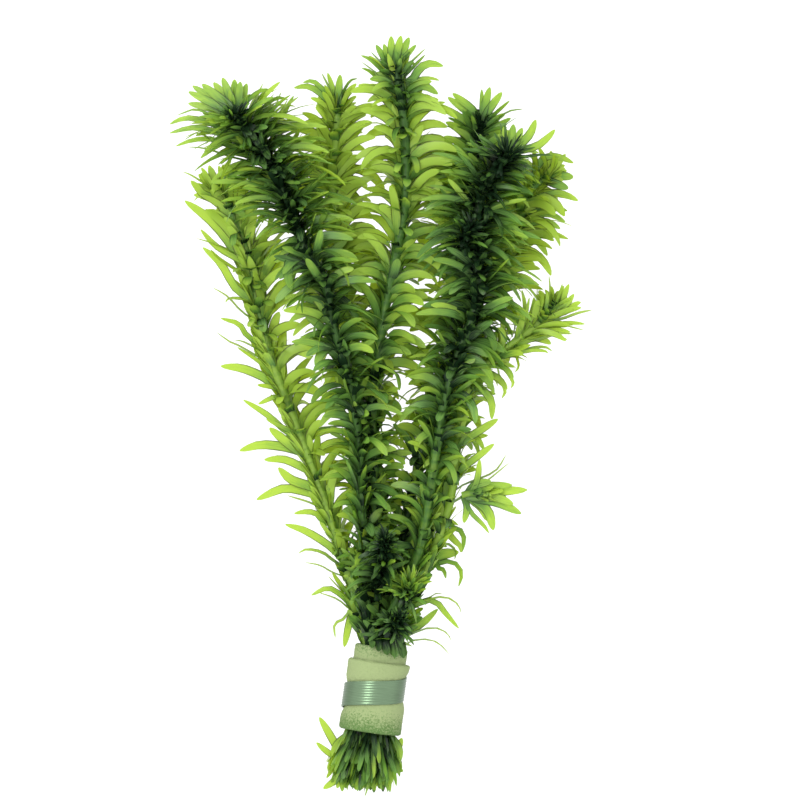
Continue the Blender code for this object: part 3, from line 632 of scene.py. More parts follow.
class LeafSettings(bpy.types.PropertyGroup):
    """Sizes of the leaves."""

    per_whorl: bpy.props.IntProperty(
        name="Leaves per whorl", description="Leaves that grow round the stem at one place", default=5, min=3
    )
    crown_extra: bpy.props.IntProperty(
        name="Extra crown leaves", description="Leaves added to each whorl near the tip", default=1, min=0
    )
    size_spread: bpy.props.FloatProperty(
        name="Size spread", description="Share by which a leaf is longer or shorter", default=0.17, min=0
    )
    lean_spread: bpy.props.FloatProperty(
        name="Lean spread", description="How much a leaf's lean varies", default=math.radians(14),
        subtype="ANGLE",
    )
    lost: bpy.props.FloatProperty(
        name="Lost leaves", description="Share of the leaves that have come off", default=0.08, min=0, max=1
    )
    sag: bpy.props.FloatProperty(
        name="Sag", description="Share of its length by which a leaf's tip hangs to the cut end", default=0.16
    )


class StemSettings(bpy.types.PropertyGroup):
    """Sizes of the stems."""

    sides: bpy.props.IntProperty(name="Sides", description="Corners round the stem", default=14, min=6)


class FoamSettings(bpy.types.PropertyGroup):
    """Sizes and colours of the rolled foam sheet."""

    width: bpy.props.FloatProperty(
        name="Width", description="Width of the sheet along the bunch", default=23.7 * MM, unit="LENGTH"
    )
    thickness: bpy.props.FloatProperty(
        name="Thickness", description="Thickness of the sheet", default=1.6 * MM, unit="LENGTH"
    )
    turns: bpy.props.FloatProperty(name="Turns", description="Turns of the roll", default=1.95)
    pore: bpy.props.FloatProperty(
        name="Pore size", description="Distance between pores", default=0.8 * MM, unit="LENGTH"
    )
    pore_depth: bpy.props.FloatProperty(
        name="Pore depth", description="Depth of the pores", default=0.3 * MM, unit="LENGTH"
    )
    face: bpy.props.FloatVectorProperty(
        name="Foam", description="Colour of the foam", subtype="COLOR", size=4, default=linear("9AAA76")
    )
    stain: bpy.props.FloatVectorProperty(
        name="Stain", description="Colour of the plant juice in the pores", subtype="COLOR", size=4,
        default=linear("587A3C"),
    )


class BandSettings(bpy.types.PropertyGroup):
    """Sizes and colour of the metal strip."""

    width: bpy.props.FloatProperty(
        name="Width", description="Width of the strip", default=8.0 * MM, unit="LENGTH"
    )
    thickness: bpy.props.FloatProperty(
        name="Thickness", description="Thickness of the strip", default=0.4 * MM, unit="LENGTH"
    )
    ridges: bpy.props.IntProperty(name="Ridges", description="Ridges along the strip", default=9, min=1)
    ridge_depth: bpy.props.FloatProperty(
        name="Ridge depth", description="Depth of the grooves", default=0.13 * MM, unit="LENGTH"
    )
    # The grey-green of oxidised alloy, made darker and greener as a painted reflection of dim green
    # surroundings
    metal: bpy.props.FloatVectorProperty(
        name="Metal", description="Colour of the metal", subtype="COLOR", size=4, default=linear("60745C")
    )


class StageSettings(bpy.types.PropertyGroup):
    """Camera, floor and light."""

    view_height: bpy.props.FloatProperty(
        name="Camera height", description="Height of the camera above the table", default=2.5, unit="LENGTH"
    )
    view_width: bpy.props.FloatProperty(
        name="View width", description="Width of the picture at the bunch", default=266.7 * MM, unit="LENGTH"
    )
    view_right: bpy.props.FloatProperty(
        name="View right", description="Picture's middle, right of the sleeve", default=8.67 * MM,
        unit="LENGTH",
    )
    view_up: bpy.props.FloatProperty(
        name="View up", description="Picture's middle, above the sleeve", default=97.67 * MM,
        unit="LENGTH",
    )
    floor_glow: bpy.props.FloatProperty(name="Floor glow", description="Light from the table", default=1.1)
    sky: bpy.props.FloatProperty(name="Sky", description="Strength of the light all round", default=1.9)
    key: bpy.props.FloatProperty(name="Key light", description="Power of the soft lamp", default=18.0)
    leaf_bounces: bpy.props.IntProperty(
        name="Leaf bounces", description="Leaves that light may pass one after another", default=8, min=1
    )


def bundle_point(along, right, above):
    """Place a point given along the sleeve's axis, to its right and above it."""
    x = along * math.sin(AXIS_LEAN) + right * math.cos(AXIS_LEAN)
    y = along * math.cos(AXIS_LEAN) - right * math.sin(AXIS_LEAN)
    return Vector((BUNDLE_X + x, BUNDLE_Y + y, AXIS_HEIGHT + above))


def along_sleeve(point):
    """Distance of a point up the sleeve's axis from the middle of the sleeve."""
    return (point[0] - BUNDLE_X) * math.sin(AXIS_LEAN) + (point[1] - BUNDLE_Y) * math.cos(AXIS_LEAN)


def bundle_matrix():
    """Matrix that lays a piece made round the Z axis onto the sleeve's axis, its X to the right."""
    middle = bundle_point(0, 0, 0)
    right = bundle_point(0, 1, 0) - middle
    along = bundle_point(1, 0, 0) - middle
    turned = Matrix((right, along.cross(right), along)).transposed().to_4x4()
    return Matrix.Translation(middle) @ turned


def start_piece():
    """Leave edit mode and deselect everything, before a new primitive."""
    if bpy.context.object and bpy.context.object.mode != "OBJECT":
        bpy.ops.object.mode_set(mode="OBJECT")
    bpy.ops.object.select_all(action="DESELECT")


def add_node(tree, kind, settings=None, inputs=None):
    """Add a shader node with its settings, and its inputs as values or as sockets to link."""
    node = tree.nodes.new(kind)
    for name, value in (settings or {}).items():
        setattr(node, name, value)
    for name, value in (inputs or {}).items():
        if isinstance(value, bpy.types.NodeSocket):
            tree.links.new(value, node.inputs[name])
        else:
            node.inputs[name].default_value = value
    return node


def blank_material(name):
    """A new material with an empty node tree, and its output node."""
    material = bpy.data.materials.new(name)
    material.use_nodes = True
    material.node_tree.nodes.clear()
    return material, add_node(material.node_tree, "ShaderNodeOutputMaterial")


def lit_and_through(tree, output, gloss, glow_inputs, share):
    """Join a glossy lit face with the light that comes through, in a fixed share."""
    lit = add_node(tree, "ShaderNodeBsdfPrincipled", inputs=gloss)
    glow = add_node(tree, "ShaderNodeBsdfTranslucent", inputs=glow_inputs)
    mix = add_node(tree, "ShaderNodeMixShader", inputs={0: share, 1: lit.outputs[0], 2: glow.outputs[0]})
    tree.links.new(mix.outputs[0], output.inputs["Surface"])


def tissue_tone(tree, width, length, spread):
    """Brightness of a tissue from its stored tone, which is painted light and shade with a random spread on
    the leaves, and fibres of a given width and length in millimetres.

    Also returns the fibres, the share of the half width beside the middle and the share of the length.
    """
    grain = add_node(tree, "ShaderNodeAttribute", {"attribute_name": "grain"})
    rows = add_node(
        tree,
        "ShaderNodeVectorMath",
        {"operation": "MULTIPLY"},
        {0: grain.outputs["Vector"], 1: (1 / width, 1.0, 1 / length)},
    )
    fibres = add_node(
        tree, "ShaderNodeTexNoise", inputs={"Vector": rows.outputs[0], "Scale": 1.0, "Detail": 2.0}
    ).outputs["Fac"]
    blade = add_node(tree, "ShaderNodeAttribute", {"attribute_name": "blade"})
    parts = add_node(tree, "ShaderNodeSeparateXYZ", inputs={0: blade.outputs["Vector"]})
    shift = add_node(
        tree,
        "ShaderNodeMapRange",
        inputs={"Value": fibres, "From Min": 0.25, "From Max": 0.75, "To Min": -spread, "To Max": spread},
    )
    tone = add_node(
        tree, "ShaderNodeMath", {"operation": "ADD"}, {0: shift.outputs[0], 1: parts.outputs["Z"]}
    )
    beside = add_node(tree, "ShaderNodeMath", {"operation": "ABSOLUTE"}, {0: parts.outputs["X"]})
    return tone.outputs[0], fibres, beside.outputs[0], parts.outputs["Y"]


def wet_surface(tree, output, tone, margin, colours, gloss, through):
    """Finish a wet tissue: colours for its tone of painted light and shade, dimmed by its margin's painted
    shade, under a film of water.

    colours: evenly spaced hex colours from dark to bright, of the lit face and of the light through it.
    """
    dimmed = []
    for codes in colours:
        ramp = add_node(tree, "ShaderNodeValToRGB", inputs={"Fac": tone})
        stops = ramp.color_ramp.elements
        stops.remove(stops[-1])
        stops[0].color = linear(codes[0])
        for number, code in enumerate(codes[1:], 1):
            stops.new(number / (len(codes) - 1)).color = linear(code)
        scaled = add_node(
            tree,
            "ShaderNodeVectorMath",
            {"operation": "SCALE"},
            {0: ramp.outputs["Color"], "Scale": margin},
        )
        dimmed.append(scaled.outputs[0])
    face, glow = dimmed
    gloss = {"Base Color": face, "IOR": WATER_IOR, **gloss}
    lit_and_through(tree, output, gloss, {"Color": glow}, through)


def leaf_tissue():
    """Wet leaf tissue: two cell layers thin, so light comes through it yellow-green, with a wet gloss."""
    material, output = blank_material("wet_leaf")
    tree = material.node_tree
    # Cell rows run along the leaf. Real rows are 0.05 mm wide, drawn at 0.3 mm so that they show
    tone, fibres, beside, place = tissue_tone(tree, 0.3, 4.0, 0.16)
    # Painted shade darkens about half a millimetre along each margin, for the curled edge, and the crowded
    # base
    margin = add_node(
        tree,
        "ShaderNodeMapRange",
        inputs={
            "Value": beside, "From Min": MARGIN_FROM, "From Max": 1.0, "To Min": 1.0, "To Max": MARGIN_SHADE,
        },
    )
    base = add_node(
        tree,
        "ShaderNodeMapRange",
        inputs={
            "Value": place, "From Max": BASE_REACH, "To Min": BASE_SHADE_TIP_LIGHT[0], "To Max": BASE_SHADE_TIP_LIGHT[1],
        },
    )
    depth = add_node(tree, "ShaderNodeMath", {"operation": "ADD"}, {0: tone, 1: base.outputs[0]})
    share = add_node(
        tree, "ShaderNodeMapRange", inputs={"Value": depth.outputs[0], "From Max": FULL_TONE}
    )
    bump = add_node(
        tree, "ShaderNodeBump", inputs={"Height": fibres, "Strength": 0.35, "Distance": 0.1 * MM}
    )
    wet_surface(
        tree,
        output,
        share.outputs[0],
        margin.outputs[0],
        (LEAF_FACES, LEAF_GLOWS),
        {"Roughness": 0.34, "Normal": bump.outputs[0]},
        LEAF_THROUGH,
    )
    return material


def stem_tissue():
    """Wet stem tissue: a soft green rod that glows a little, with fibres along it and a wet gloss."""
    material, output = blank_material("wet_stem")
    tree = material.node_tree
    # Real fibres are 0.1 mm apart, drawn at 0.4 mm so that they show
    tone, fibres, _, _ = tissue_tone(tree, 0.4, 5.0, 0.15)
    bump = add_node(
        tree, "ShaderNodeBump", inputs={"Height": fibres, "Strength": 0.5, "Distance": 0.2 * MM}
    )
    wet_surface(
        tree,
        output,
        tone,
        1.0,
        (STEM_FACES, STEM_GLOWS),
        {"Roughness": 0.45, "Normal": bump.outputs[0]},
        STEM_THROUGH,
    )
    return material


def damp_foam(settings):
    """Damp open-cell polyether foam: matt and pale, pores stained green by plant juice near both ends."""
    material, output = blank_material("damp_foam")
    tree = material.node_tree
    place = add_node(tree, "ShaderNodeTexCoord")
    laid = add_node(
        tree,
        "ShaderNodeMapping",
        {"vector_type": "TEXTURE"},
        {
            "Vector": place.outputs["Object"],
            "Location": bundle_point(FOAM_CLEAN, 0, 0),
            "Rotation": (0, 0, -AXIS_LEAN),
        },
    )
    parts = add_node(tree, "ShaderNodeSeparateXYZ", inputs={0: laid.outputs[0]})
    away = add_node(tree, "ShaderNodeMath", {"operation": "ABSOLUTE"}, {0: parts.outputs["Y"]})
    near_end = add_node(
        tree,
        "ShaderNodeMapRange",
        inputs={
            "Value": away.outputs[0], "From Min": FOAM_STAIN_FROM, "From Max": FOAM_STAIN_TO,
            "To Max": FOAM_STAIN,
        },
    )
    pores = add_node(
        tree,
        "ShaderNodeTexNoise",
        inputs={"Vector": laid.outputs[0], "Scale": 1 / FOAM_STAIN_GRAIN, "Detail": 3.0, "Roughness": 0.7},
    )
    stained = add_node(
        tree, "ShaderNodeMath", {"operation": "ADD"}, {0: pores.outputs["Fac"], 1: near_end.outputs[0]}
    )
    share = add_node(
        tree,
        "ShaderNodeMapRange",
        inputs={
            "Value": stained.outputs[0], "From Min": FOAM_STAIN_SHOWS[0], "From Max": FOAM_STAIN_SHOWS[1],
        },
    )
    colour = add_node(
        tree,
        "ShaderNodeMix",
        {"data_type": "RGBA"},
        {"Factor": share.outputs[0], 6: settings.face, 7: settings.stain},
    )
    bump = add_node(
        tree,
        "ShaderNodeBump",
        inputs={"Height": pores.outputs["Fac"], "Strength": 0.6, "Distance": 0.25 * MM},
    )
    lit_and_through(
        tree,
        output,
        {"Base Color": colour.outputs[2], "Roughness": 0.85, "Normal": bump.outputs[0]},
        {"Color": colour.outputs[2]},
        FOAM_THROUGH,
    )
    return material


def rolled_zinc(settings):
    """Soft rolled zinc alloy strip: satin grey metal, drawn lengthwise, dulled by water. Its colour is the
    grey-green of oxidised alloy, made darker and greener as a painted reflection of dim green surroundings.
    """
    material, output = blank_material("rolled_zinc")
    tree = material.node_tree
    place = add_node(tree, "ShaderNodeTexCoord")
    laid = add_node(
        tree,
        "ShaderNodeMapping",
        {"vector_type": "TEXTURE"},
        {
            "Vector": place.outputs["Object"],
            "Location": bundle_point(0, 0, 0),
            "Rotation": (0, 0, -AXIS_LEAN),
            # Drawing lines 0.25 mm apart, stretched along the strip
            "Scale": (6 * MM, 0.25 * MM, 6 * MM),
        },
    )
    lines = add_node(
        tree, "ShaderNodeTexNoise", inputs={"Vector": laid.outputs[0], "Scale": 1.0, "Detail": 2.0}
    ).outputs["Fac"]
    shine = add_node(tree, "ShaderNodeMapRange", inputs={"Value": lines, "To Min": 0.75, "To Max": 1.2})
    colour = add_node(
        tree,
        "ShaderNodeVectorMath",
        {"operation": "SCALE"},
        {0: settings.metal[:3], "Scale": shine.outputs[0]},
    )
    rough = add_node(tree, "ShaderNodeMapRange", inputs={"Value": lines, "To Min": 0.24, "To Max": 0.44})
    bump = add_node(
        tree, "ShaderNodeBump", inputs={"Height": lines, "Strength": 0.3, "Distance": 0.05 * MM}
    )
    metal = add_node(
        tree,
        "ShaderNodeBsdfPrincipled",
        inputs={
            "Base Color": colour.outputs[0], "Metallic": 1.0, "Roughness": rough.outputs[0],
            "Normal": bump.outputs[0],
        },
    )
    tree.links.new(metal.outputs[0], output.inputs["Surface"])
    return material


def opal_glass(settings):
    """Opal glass of a light table: a matt face that glows an even white."""
    material, output = blank_material("opal_glass")
    tree = material.node_tree
    face = add_node(tree, "ShaderNodeBsdfDiffuse", inputs={"Color": linear(TABLE_FACE)})
    glow = add_node(
        tree,
        "ShaderNodeEmission",
        inputs={"Color": linear("FFFFFF"), "Strength": settings.floor_glow},
    )
    both = add_node(tree, "ShaderNodeAddShader", inputs={0: face.outputs[0], 1: glow.outputs[0]})
    tree.links.new(both.outputs[0], output.inputs["Surface"])
    return material


def whole_route(shoot):
    """Points of a stem from its cut end to its tip, in metres."""
    points = []
    if shoot.seat is not None:
        turn = 0.0 if shoot.seat == "middle" else math.radians(shoot.seat)
        share = 0.0 if shoot.seat == "middle" else 1.0
        stages = (
            (-shoot.cut * MM, CUT_RING),
            (CUT_FLARE_END, (CUT_RING + SLEEVE_RING) / 2),
            (SLEEVE_ENTRY, SLEEVE_RING),
            (0.0, SLEEVE_RING),
            (SLEEVE_EXIT, SLEEVE_RING),
        )
        for along, ring in stages:
            offset = ring * share
            points.append(bundle_point(along, offset * math.cos(turn), offset * math.sin(turn)))
    for right, up, above in shoot.route:
        points.append(Vector((BUNDLE_X + right * MM, BUNDLE_Y + up * MM, above * MM)))
    return points


def smooth_curve(points):
    """A smooth curve (Catmull-Rom) through the points, read at even steps."""
    ends = [points[0] * 2 - points[1]] + points + [points[-1] * 2 - points[-2]]
    dense = []
    for before, start, end, after in zip(ends, ends[1:], ends[2:], ends[3:]):
        for share in np.linspace(0, 1, CURVE_SAMPLES, endpoint=False):
            square, cube = share * share, share ** 3
            point = 0.5 * (
                2 * start
                + (end - before) * share
                + (2 * before - 5 * start + 4 * end - after) * square
                + (3 * start - before - 3 * end + after) * cube
            )
            dense.append(point)
    dense.append(points[-1])
    dense = np.array(dense)
    lengths = np.concatenate([[0], np.cumsum(np.linalg.norm(np.diff(dense, axis=0), axis=1))])
    stations = np.linspace(0, lengths[-1], max(3, round(lengths[-1] / ROUTE_STEP)))
    return stations, np.column_stack([np.interp(stations, lengths, dense[:, i]) for i in range(3)])


class Stem:
    """A smooth stem centre line with a side direction carried along it without twist."""

    def __init__(self, shoot):
        self.stations, self.points = smooth_curve(whole_route(shoot))
        self.length = self.stations[-1]
        self.tangents = np.gradient(self.points, self.stations, axis=0)
        self.tangents /= np.linalg.norm(self.tangents, axis=1)[:, None]
        side = np.cross(self.tangents[0], SIDE_HINT)
        self.sides = []
        for tangent in self.tangents:
            side = side - tangent * np.dot(side, tangent)
            side = side / np.linalg.norm(side)
            self.sides.append(side)
        self.sides = np.array(self.sides)
        self.radius = shoot.stem * MM

    def read(self, table, distance):
        """Interpolate one of the tables at a distance from the cut end."""
        return np.array([np.interp(distance, self.stations, table[:, i]) for i in range(3)])

    def frame_at(self, distance):
        """Centre, direction and two side directions at a distance from the cut end."""
        tangent = self.read(self.tangents, distance)
        tangent /= np.linalg.norm(tangent)
        side = self.read(self.sides, distance)
        side -= tangent * np.dot(side, tangent)
        side /= np.linalg.norm(side)
        return self.read(self.points, distance), tangent, side, np.cross(tangent, side)

    def radius_at(self, distance):
        """Stem radius, tapering to the tip."""
        share = distance / self.length
        return self.radius * (1 - share + STEM_TAPER * share)


def habit_at(shoot, down):
    """Read a shoot's habit at a distance from its tip in millimetres."""
    table = np.array(shoot.habit, dtype=float)
    return Habit(*(np.interp(down, table[:, 0], column) for column in table.T))


def whorl_distances(shoot, stem, rng):
    """Distances of the whorls from the cut end, close together near the tip, none inside the sleeve."""
    distances = []
    down = WHORL_START
    while stem.length - down > BARE_END:
        distance = stem.length - down
        height = along_sleeve(stem.read(stem.points, distance))
        below = shoot.seat is not None and height < BARE_BELOW_SLEEVE
        if shoot.seat is None or below or height > BARE_ABOVE_SLEEVE:
            distances.append(distance)
        gap = CUT_GAP if below else habit_at(shoot, down / MM).gap * MM
        down += gap * rng.uniform(1 - GAP_SPREAD, 1 + GAP_SPREAD)
    return distances


# What the leaves of one whorl share. centre, tangent, side and other place it, and trunk points along the
# shoot up to it; growth and opening are shares of a grown leaf's size and lean; leaves is their number, and
# length, width, leans and shade are typical ones; cut_end says that it is below the sleeve; over_share,
# levelling and disorder are as in the comments above
Whorl = namedtuple(
    "Whorl",
    "centre tangent side other trunk habit growth opening leaves length width leans shade cut_end over_share"
    " levelling disorder",
)

# A leaf as it lies: its middle line, its direction across and its upper side at every row of the blade
Leaf = namedtuple("Leaf", "middle across upper length width tone")


def lift_off_table(middle, upper, width):
    """Raise the parts of a leaf's middle line that would sink into the table."""
    reach = width / 2 * np.sqrt(np.clip(1 - upper[:, 2] ** 2, 0, 1)) + TABLE_GAP
    middle[:, 2] = np.maximum(middle[:, 2], reach)
    return middle


def blade_turn(along, out, lean, level):
    """Angle by which a leaf's blade turns about its own line to lie level, or else to stand on edge."""
    middle = (lean[1] + lean[2]) / 2
    line = along * math.cos(middle) + out * math.sin(middle)
    across = np.cross(along, out)
    side = np.cross(line, (0, 0, 1.0))
    size = np.linalg.norm(side)
    if size < LEVEL_LEAF:
        return 0.0
    side /= size
    angle = math.atan2(np.dot(np.cross(across, side), line), np.dot(across, side))
    quarter = math.pi / 2
    return (angle + (quarter if level else 0.0)) % math.pi - quarter


def swept_aside(out, along, share):
    """Turn the direction of a leaf on the upper side of a level stem toward the nearer side."""
    top = np.array((0, 0, 1.0)) - along * along[2]
    size = np.linalg.norm(top)
    if size < LEVEL_STEM or out[2] <= 0:
        return out
    top /= size
    beside = np.cross(along, top)
    angle = math.acos(np.clip(np.dot(out, beside), -1, 1))
    facing = math.copysign(1.0, math.cos(angle))
    lift = min(angle, math.pi - angle) * (1 - share)
    return beside * facing * math.cos(lift) + top * math.sin(lift)


def arched_leaf(root, along, out, size, lean, rolls, drift, tone):
    """A leaf that grows from the stem at a lean and arches outward.

    rolls: turn of the blade about its own line, and further twist at the tip.
    drift: shares of the length by which the tip swings sideways and sags toward the cut end.
    """
    length, width = size
    turn, twist = rolls
    swing, sag = drift
    angles = np.interp(ROWS, LEAN_PLACES, lean)
    lines = np.outer(np.cos(angles), along) + np.outer(np.sin(angles), out)
    level = np.cross(along, out)
    steps = (lines[1:] + lines[:-1]) / 2 * np.diff(ROWS)[:, None] * length
    middle = root + np.vstack([np.zeros(3), np.cumsum(steps, axis=0)])
    middle += np.outer(ROWS ** 2, level * swing - np.array((0, sag, 0))) * length
    turns = (turn * np.clip(ROWS / TURN_REACH, 0, 1) + twist * ROWS ** 2)[:, None]
    up = np.cross(lines, level)
    across = level * np.cos(turns) + up * np.sin(turns)
    upper = up * np.cos(turns) - level * np.sin(turns)
    return Leaf(lift_off_table(middle, upper, width), across, upper, length, width, tone)


def laid_leaf(stem, row, tone):
    """A listed leaf, laid from its stem through its places."""
    width, turn, rise, *places = row
    flat = np.array([(BUNDLE_X + right * MM, BUNDLE_Y + up * MM) for right, up in places])
    gaps = np.linalg.norm(stem.points[:, :2] - flat[0], axis=1)
    nearest = gaps.argmin()
    run = flat[-1] - flat[0]
    bent_back = np.dot(run, stem.tangents[nearest, :2]) < BENT_BACK * np.linalg.norm(run)
    shift = gaps[nearest] if bent_back else -gaps[nearest]
    root = stem.read(stem.points, stem.stations[nearest] + shift)
    heights = root[2] + rise * MM * np.linspace(0, 1, len(flat) + 1)[1:]
    course = [Vector(root)] + [Vector((*place, height)) for place, height in zip(flat, heights)]
    stations, points = smooth_curve(course)
    length = stations[-1]
    middle = np.column_stack([np.interp(ROWS * length, stations, points[:, i]) for i in range(3)])
    lines = np.gradient(middle, ROWS, axis=0)
    lines /= np.linalg.norm(lines, axis=1)[:, None]
    up = np.array((0, 0, 1.0)) - lines * lines[:, 2:]
    up /= np.linalg.norm(up, axis=1)[:, None]
    level = np.cross(up, lines)
    angle = math.radians(turn)
    across = level * math.cos(angle) + up * math.sin(angle)
    upper = up * math.cos(angle) - level * math.sin(angle)
    return Leaf(lift_off_table(middle, upper, width * MM), across, upper, length, width * MM, tone)


def inside_body(leaf):
    """Whether a leaf stays inside the outline of the lower bunch."""
    heights, left, right = np.array(BODY_OUTLINE, dtype=float).T
    up = (leaf.middle[:, 1] - BUNDLE_Y) / MM
    side = (leaf.middle[:, 0] - BUNDLE_X) / MM
    return bool(np.all((side > np.interp(up, heights, left)) & (side < np.interp(up, heights, right))))


def read_whorl(shoot, stem, distance, settings):
    """Read what the leaves of a whorl share, at its distance from the cut end."""
    centre, tangent, side, other = stem.frame_at(distance)
    trunk = centre - stem.read(stem.points, max(0.0, distance - BACK_REACH))
    trunk /= np.linalg.norm(trunk)
    down = (stem.length - distance) / MM
    height = along_sleeve(centre) / MM
    cut_end = shoot.seat is not None and height < 0
    habit = habit_at(shoot, down)
    opening = np.interp(down, YOUNG_PLACES, YOUNG_LEANS)
    if shoot.seat is not None:
        opening *= np.interp(height, GATHER_PLACES, GATHER_LEANS)
    shade = np.interp(down, BUD_PLACES, (shoot.bud, shoot.bud, habit.tone))
    if cut_end:
        length, width = np.interp(height, CUT_PLACES, CUT_LENGTHS), CUT_LEAF_WIDTH
        leans = [np.interp(height, CUT_PLACES, pair) for pair in CUT_LEANS]
        over_share, levelling, disorder = 0.0, 0.0, CUT_DISORDER
    else:
        length, width = habit.length, habit.width
        full = (OPEN_ROOT_LEAN, habit.shoulder, habit.tip)
        leans = [bud + (wide - bud) * opening for bud, wide in zip(BUD_LEAN, full)]
        over_share = np.interp(habit.gap, CROWDED_GAPS, OVER_SHARES)
        levelling = LEVELLING * np.interp(habit.gap, CROWDED_GAPS, (1, 0))
        disorder = np.interp(height, DISORDER_PLACES, DISORDER)
    return Whorl(
        centre, tangent, side, other, trunk, habit,
        growth=np.interp(down, YOUNG_PLACES, YOUNG_LENGTHS),
        opening=opening,
        leaves=settings.per_whorl + (settings.crown_extra if down < CROWN_REACH else 0),
        length=length,
        width=width,
        leans=leans,
        shade=shade * np.interp(height, GATHER_PLACES, GATHER_SHADES),
        cut_end=cut_end,
        over_share=over_share,
        levelling=levelling,
        disorder=disorder,
    )


def grow_leaf(whorl, angle, stem_radius, settings, rng):
    """Grow one leaf of a whorl at an angle round the stem, drawn at random about the whorl's habit."""
    out = whorl.side * math.cos(angle) + whorl.other * math.sin(angle)
    over = out[2] > OVER_FACING and rng.random() < whorl.over_share
    if not (over or whorl.cut_end):
        out = swept_aside(out, whorl.tangent, whorl.habit.swept)
    back = max(0.0, -np.dot(out, whorl.trunk))
    wander = rng.normal(0, settings.lean_spread) * (LEAST_WANDER + (1 - LEAST_WANDER) * whorl.opening)
    curl = rng.normal(0, settings.lean_spread) * whorl.opening
    level_lean = 0.0 if over else whorl.levelling * out[1]
    lean = []
    for value, place in zip(OVER_LEAN if over else whorl.leans, LEAN_SHARES):
        spread = (wander * place + curl * place ** 2) * whorl.disorder
        lean.append(math.radians(value) + spread + level_lean * min(place, 1))
    length = whorl.length * MM * whorl.growth * (1 + rng.normal(0, settings.size_spread))
    length *= OVER_LENGTH if over else 1 - BACK_LENGTH * back
    young_width = 1 - YOUNG_WIDTH_LOSS * (1 - whorl.growth)
    width = whorl.width * MM * young_width * (1 + rng.normal(0, WIDTH_SPREAD))
    level = rng.random() < whorl.habit.flat
    roll = rng.normal(0, STEADY_ROLL if level or over else FREE_ROLL)
    if not over:
        turned = blade_turn(whorl.tangent, out, lean, level)
        roll += turned * rng.uniform(*TURN_SHARES) * max(whorl.opening, LEAST_TURN)
    # Painted shade for leaves that point up over a dense middle, fall back over their stem or are held over
    # it
    shade = CORE_SHADE * max(0.0, out[2]) ** 2 + BACK_SHADE * back + (OVER_SHADE if over else 0.0)
    tone = whorl.shade - shade + rng.normal(0, TONE_SPREAD)
    root = whorl.centre + out * stem_radius * ROOT_RADIUS
    twist = rng.normal(0, TWIST_SPREAD) * whorl.opening * whorl.disorder
    sag = 0.0 if whorl.cut_end or over else settings.sag * whorl.opening * math.sin(lean[2])
    swing = rng.normal(0, SWING_SPREAD) * whorl.disorder
    leaf = arched_leaf(root, whorl.tangent, out, (length, width), lean, (roll, twist), (swing, sag), tone)
    if whorl.cut_end or inside_body(leaf):
        return leaf
    # A leaf that would leave the outline of the bunch is pressed to its stem instead
    pressed = [math.radians(value) for value in PRESSED_LEAN]
    size = (length * PRESSED_LENGTH, width)
    return arched_leaf(root, whorl.tangent, out, size, pressed, (roll * PRESSED_ROLL, 0.0), (0.0, 0.0), tone)


def shoot_leaves(shoot, stem, distances, settings, rng):
    """Every leaf of a shoot, whorl by whorl from the tip down, and the listed leaves."""
    leaves = []
    turn = rng.uniform(0, 2 * math.pi)
    for distance in distances:
        whorl = read_whorl(shoot, stem, distance, settings)
        turn += math.pi / whorl.leaves + rng.normal(0, WHORL_TURN_SPREAD)
        for number in range(whorl.leaves):
            angle = turn + 2 * math.pi * number / whorl.leaves + rng.normal(0, LEAF_TURN_SPREAD)
            leaf = grow_leaf(whorl, angle, stem.radius_at(distance), settings, rng)
            if rng.random() >= settings.lost:
                leaves.append(leaf)
    for row in LAID_LEAVES.get(shoot.name, []):
        tone = LAID_TONES.get(shoot.name, LAID_TONE) + rng.normal(0, LAID_TONE_SPREAD)
        leaves.append(laid_leaf(stem, row, tone))
    return leaves


def select_corners(piece, test):
    """Select the corners of a mesh in edit mode that pass a test."""
    bpy.ops.object.mode_set(mode="OBJECT")
    for face in piece.data.polygons:
        face.select = False
    for edge in piece.data.edges:
        edge.select = False
    for vertex in piece.data.vertices:
        vertex.select = test(vertex.co)
    bpy.ops.object.mode_set(mode="EDIT")
    bpy.ops.mesh.select_mode(type="VERT")


def model_blade():
    """Model one leaf by hand: one long and one wide, thin, pointed and keeled along its middle."""
    start_piece()
    bpy.ops.mesh.primitive_cylinder_add(
        vertices=4, radius=0.5, depth=1, location=(0, 0, 0.5), end_fill_type="NGON"
    )
    blade = bpy.context.object
    bpy.ops.object.transform_apply(location=True, rotation=True, scale=True)
    bpy.ops.object.mode_set(mode="EDIT")
    for place, _ in BLADE_OUTLINE[1:-1]:
        bpy.ops.mesh.select_all(action="SELECT")
        bpy.ops.mesh.bisect(plane_co=(0, 0, place), plane_no=(0, 0, 1))
    for place, width in BLADE_OUTLINE:
        select_corners(blade, lambda corner: abs(corner.z - place) < 0.01)
        bpy.ops.transform.resize(
            value=(width, BLADE_THICKNESS * math.sqrt(width), 1), center_override=(0, 0, place)
        )
        select_corners(blade, lambda corner: abs(corner.z - place) < 0.01 and abs(corner.x) < 0.001)
        bpy.ops.transform.translate(value=(0, -BLADE_KEEL * width, 0))
    bpy.ops.object.mode_set(mode="OBJECT")
    corners = np.array([vertex.co for vertex in blade.data.vertices])
    faces = [tuple(face.vertices) for face in blade.data.polygons]
    bpy.data.objects.remove(blade)
    return corners, faces


